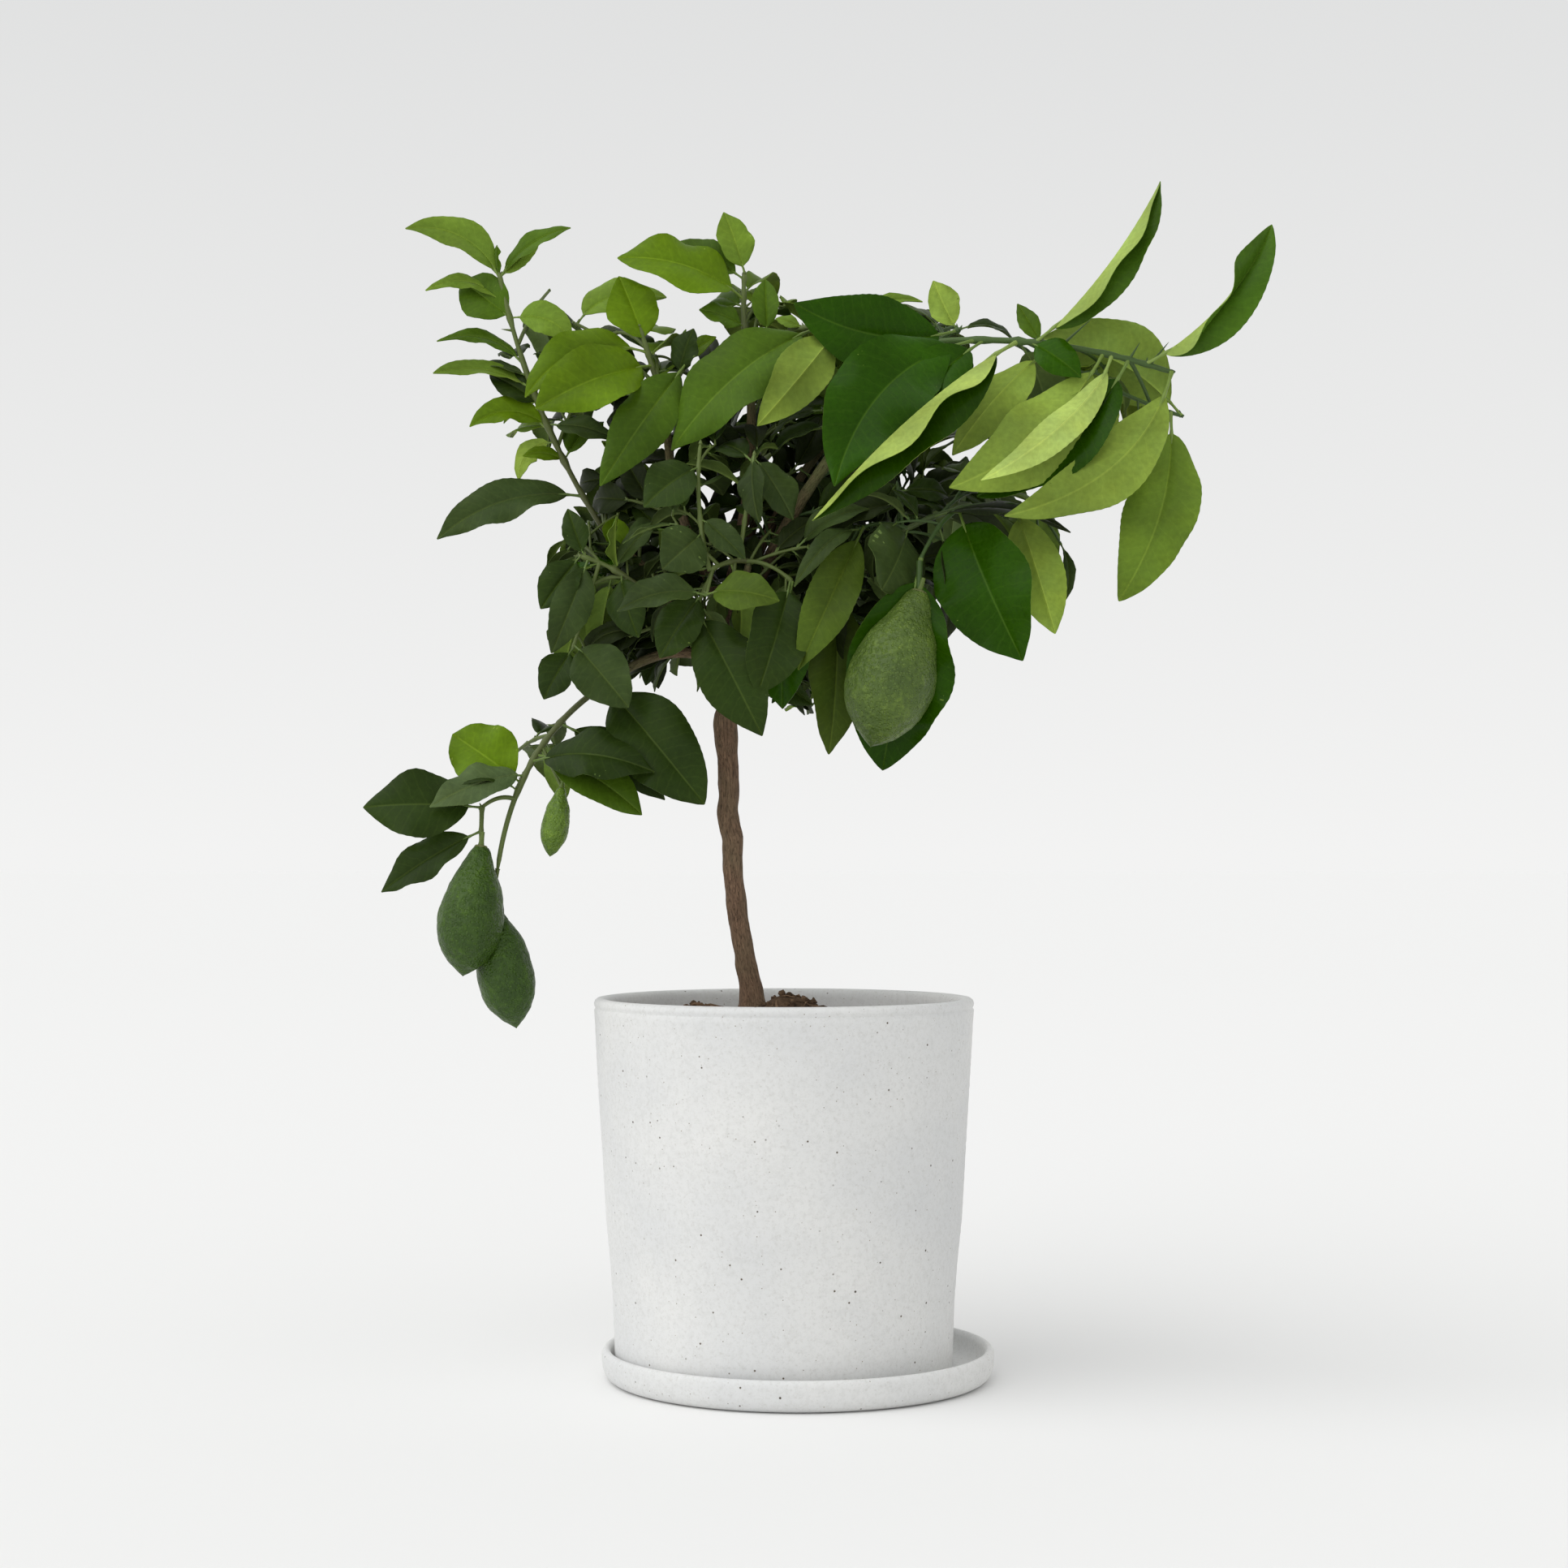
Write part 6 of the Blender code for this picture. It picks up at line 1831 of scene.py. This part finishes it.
def bark_material():
    """Young grey-brown bark with fine cracks along it and paler lenticels."""
    paint = Paint("bark", specular=0.25)
    marks = paint.attribute("marks").outputs["Vector"]
    streak = paint.noise(paint.scaled(marks, (1, 1, 0.10)), 1.1, 4, 0.6)
    crack = paint.noise(paint.scaled(marks, (1, 1, 0.16)), 2.6, 4, 0.7)
    patch = paint.noise(paint.place(), 42, 3)
    dark = paint.between(crack, 0.46, 0.34)
    lenticels, _ = paint.cells(paint.scaled(marks, (1, 1, 1.6)), 0.42)
    tone = ink(BARK_DARK)
    for share, colour in (
        (paint.between(streak, 0.3, 0.7), BARK_LIGHT),
        (paint.between(patch, 0.42, 0.72, 0, 0.45), BARK_PATCH),
        (paint.attribute("young").outputs["Fac"], GREEN_BARK),
        (paint.times(dark, 0.65), BARK_CRACK),
        (paint.between(lenticels, 0.16, 0.08, 0, 0.6), BARK_LENTICEL),
    ):
        tone = paint.mix(share, tone, ink(colour))
    paint.bump(paint.math("SUBTRACT", streak, paint.times(dark, 0.7)), 0.8, 0.0007)
    return paint.finish(tone, paint.between(streak, 0.2, 0.8, 0.72, 0.92))


def peel_material():
    """Unripe lemon peel: two greens in soft patches, with lumps lighter on their tops, partly their own paler
    colour and partly a painted highlight, pale oil glands and small pits.
    """
    paint = Paint("peel", specular=0.28)
    place = paint.place()
    patch, fine = paint.noise(place, 48, 3), paint.noise(place, 420, 3)
    lumps = paint.noise(place, 190)
    glands, _ = paint.cells(place, 620)
    tone = paint.attribute("hue").outputs["Color"]
    for share, lighter in (
        (paint.between(patch, 0.35, 0.7), (1.4, 1.35, 1.15, 1)),
        # The lumps are lighter where they rise: partly the peel's own paler bumps, partly a painted highlight
        # on their tops
        (paint.between(lumps, 0.48, 0.68, 0, 0.6), (1.5, 1.42, 1.4, 1)),
        (paint.between(fine, 0.5, 0.68, 0, 0.45), (2.0, 1.85, 1.8, 1)),
        (paint.between(glands, 0.34, 0.10, 0, 0.50), (2.1, 1.95, 2.0, 1)),
    ):
        tone = paint.mix(share, tone, paint.tinted(1.0, tone, lighter))
    height = paint.plus(paint.between(glands, 0.0, 0.5), paint.times(fine, 0.8))
    paint.bump(paint.plus(height, paint.times(lumps, 2.5)), 0.7, 0.0010)
    return paint.finish(tone, paint.between(fine, 0.3, 0.7, 0.34, 0.46))


@cache
def stoneware_material():
    """Matt off-white glaze, faintly mottled, with iron specks of several sizes."""
    paint = Paint("stoneware_glaze", specular=0.35)
    place = paint.place()
    cloud, fine = paint.noise(place, 14, 3), paint.noise(place, 700, 3)
    grain = paint.noise(place, 330, 4, 0.7)
    tone = paint.mix(paint.between(cloud, 0.3, 0.7), ink(GLAZE_DULL), ink(GLAZE_BRIGHT))
    tone = paint.mix(paint.between(grain, 0.46, 0.74, 0, 0.32), tone, ink(GLAZE_GRAIN))
    tone = paint.mix(paint.between(fine, 0.55, 0.75, 0, 0.30), tone, ink(GLAZE_DUST))
    for scale, size, colour in SPECKS:
        away, cell = paint.cells(place, scale)
        chosen = paint.between(paint.split(cell)[0], 0.60, 0.68)
        tone = paint.mix(paint.times(paint.between(away, size, size * 0.55), chosen), tone, ink(colour))
    paint.bump(paint.plus(grain, paint.times(cloud, 2.0)), 0.3, 0.0004)
    return paint.finish(tone, paint.between(fine, 0.3, 0.7, 0.62, 0.78))


def soil_material():
    """Dark brown peat with lighter fibres."""
    paint = Paint("soil_peat", specular=0.15)
    place = paint.place()
    coarse, fine = paint.noise(place, 90, 4, 0.6), paint.noise(place, 520, 4, 0.65)
    tone = paint.mix(paint.between(coarse, 0.3, 0.7), ink(PEAT_DARK), ink(PEAT_LIGHT))
    tone = paint.mix(paint.between(fine, 0.55, 0.8, 0, 0.6), tone, ink(PEAT_DUST))
    tone = paint.tinted(1.0, tone, paint.attribute("hue").outputs["Color"])
    paint.bump(paint.plus(coarse, fine), 0.9, 0.0012)
    return paint.finish(tone, paint.between(fine, 0.2, 0.8, 0.82, 0.98))


def floor():
    """A wide pale floor whose tone meets the backdrop's at the horizon."""
    mesh = bpy.data.meshes.new("floor")
    corners = ((-1, -1), (1, -1), (1, 1), (-1, 1))
    mesh.from_pydata([(x * FLOOR_REACH, y * FLOOR_REACH, 0) for x, y in corners], [], [(0, 1, 2, 3)])
    made = in_scene("floor", mesh)
    paint = Paint("floor", roughness=0.9, specular=0.1)
    away = paint.node("VectorMath", {0: paint.place()}, operation="LENGTH").outputs["Value"]
    near, far = ((value, value * 0.998, value * 0.99, 1) for value in FLOOR_TONES)
    mesh.materials.append(paint.finish(paint.mix(paint.between(away, *FLOOR_FADE), near, far)))


def backdrop():
    """A pale backdrop, as the sky of the world, a little darker higher up."""
    world = bpy.data.worlds.new("studio")
    bpy.context.scene.world = world
    world.use_nodes = True
    tree = world.node_tree
    ramp = tree.nodes.new("ShaderNodeValToRGB")
    height = tree.nodes.new("ShaderNodeSeparateXYZ")
    tree.links.new(tree.nodes.new("ShaderNodeTexCoord").outputs["Generated"], height.inputs[0])
    tree.links.new(height.outputs[2], ramp.inputs[0])
    tree.links.new(ramp.outputs[0], tree.nodes["Background"].inputs["Color"])
    for element, place, colour in zip(ramp.color_ramp.elements, WORLD_HEIGHTS, (WORLD_LOW, WORLD_HIGH)):
        element.position = place
        element.color = (*colour, 1)


def lamp():
    """A soft lamp, high on the left in front of the plant."""
    light = bpy.data.lights.new("studio_lamp", "SUN")
    light.energy = LAMP_STRENGTH
    light.angle = math.radians(LAMP_SOFTNESS)
    in_scene("studio_lamp", light).rotation_euler = Vector(LAMP_WAY).to_track_quat("-Z", "Y").to_euler()


def camera():
    """The camera, level, where the photo was taken."""
    lens = bpy.data.cameras.new("camera")
    lens.sensor_width = SENSOR
    lens.lens = LENS
    lens.shift_y = SHIFT_UP
    lens.clip_start, lens.clip_end = CAMERA_CLIP
    made = in_scene("camera", lens)
    made.location = EYE * MM
    made.rotation_euler = (math.radians(90), 0, 0)
    bpy.context.scene.camera = made


def build():
    """The plant and its pot on the floor, in front of the camera."""
    space = Space()
    limbs, starts = plan_limbs(space)
    clumps = plan_masses(space, starts)
    grow_sprigs(clumps)
    for number, clump in enumerate(clumps.values()):
        clump.grow_finer_twigs(limbs[clump.mass.bough], random.Random(SEED - 1 - number))
    foliage(clumps, limbs)
    fruit_pieces(clumps)
    wood(limbs)
    pot()
    saucer()
    soil()
    floor()
    bpy.context.scene.view_settings.view_transform = "Standard"
    backdrop()
    lamp()
    camera()


build()
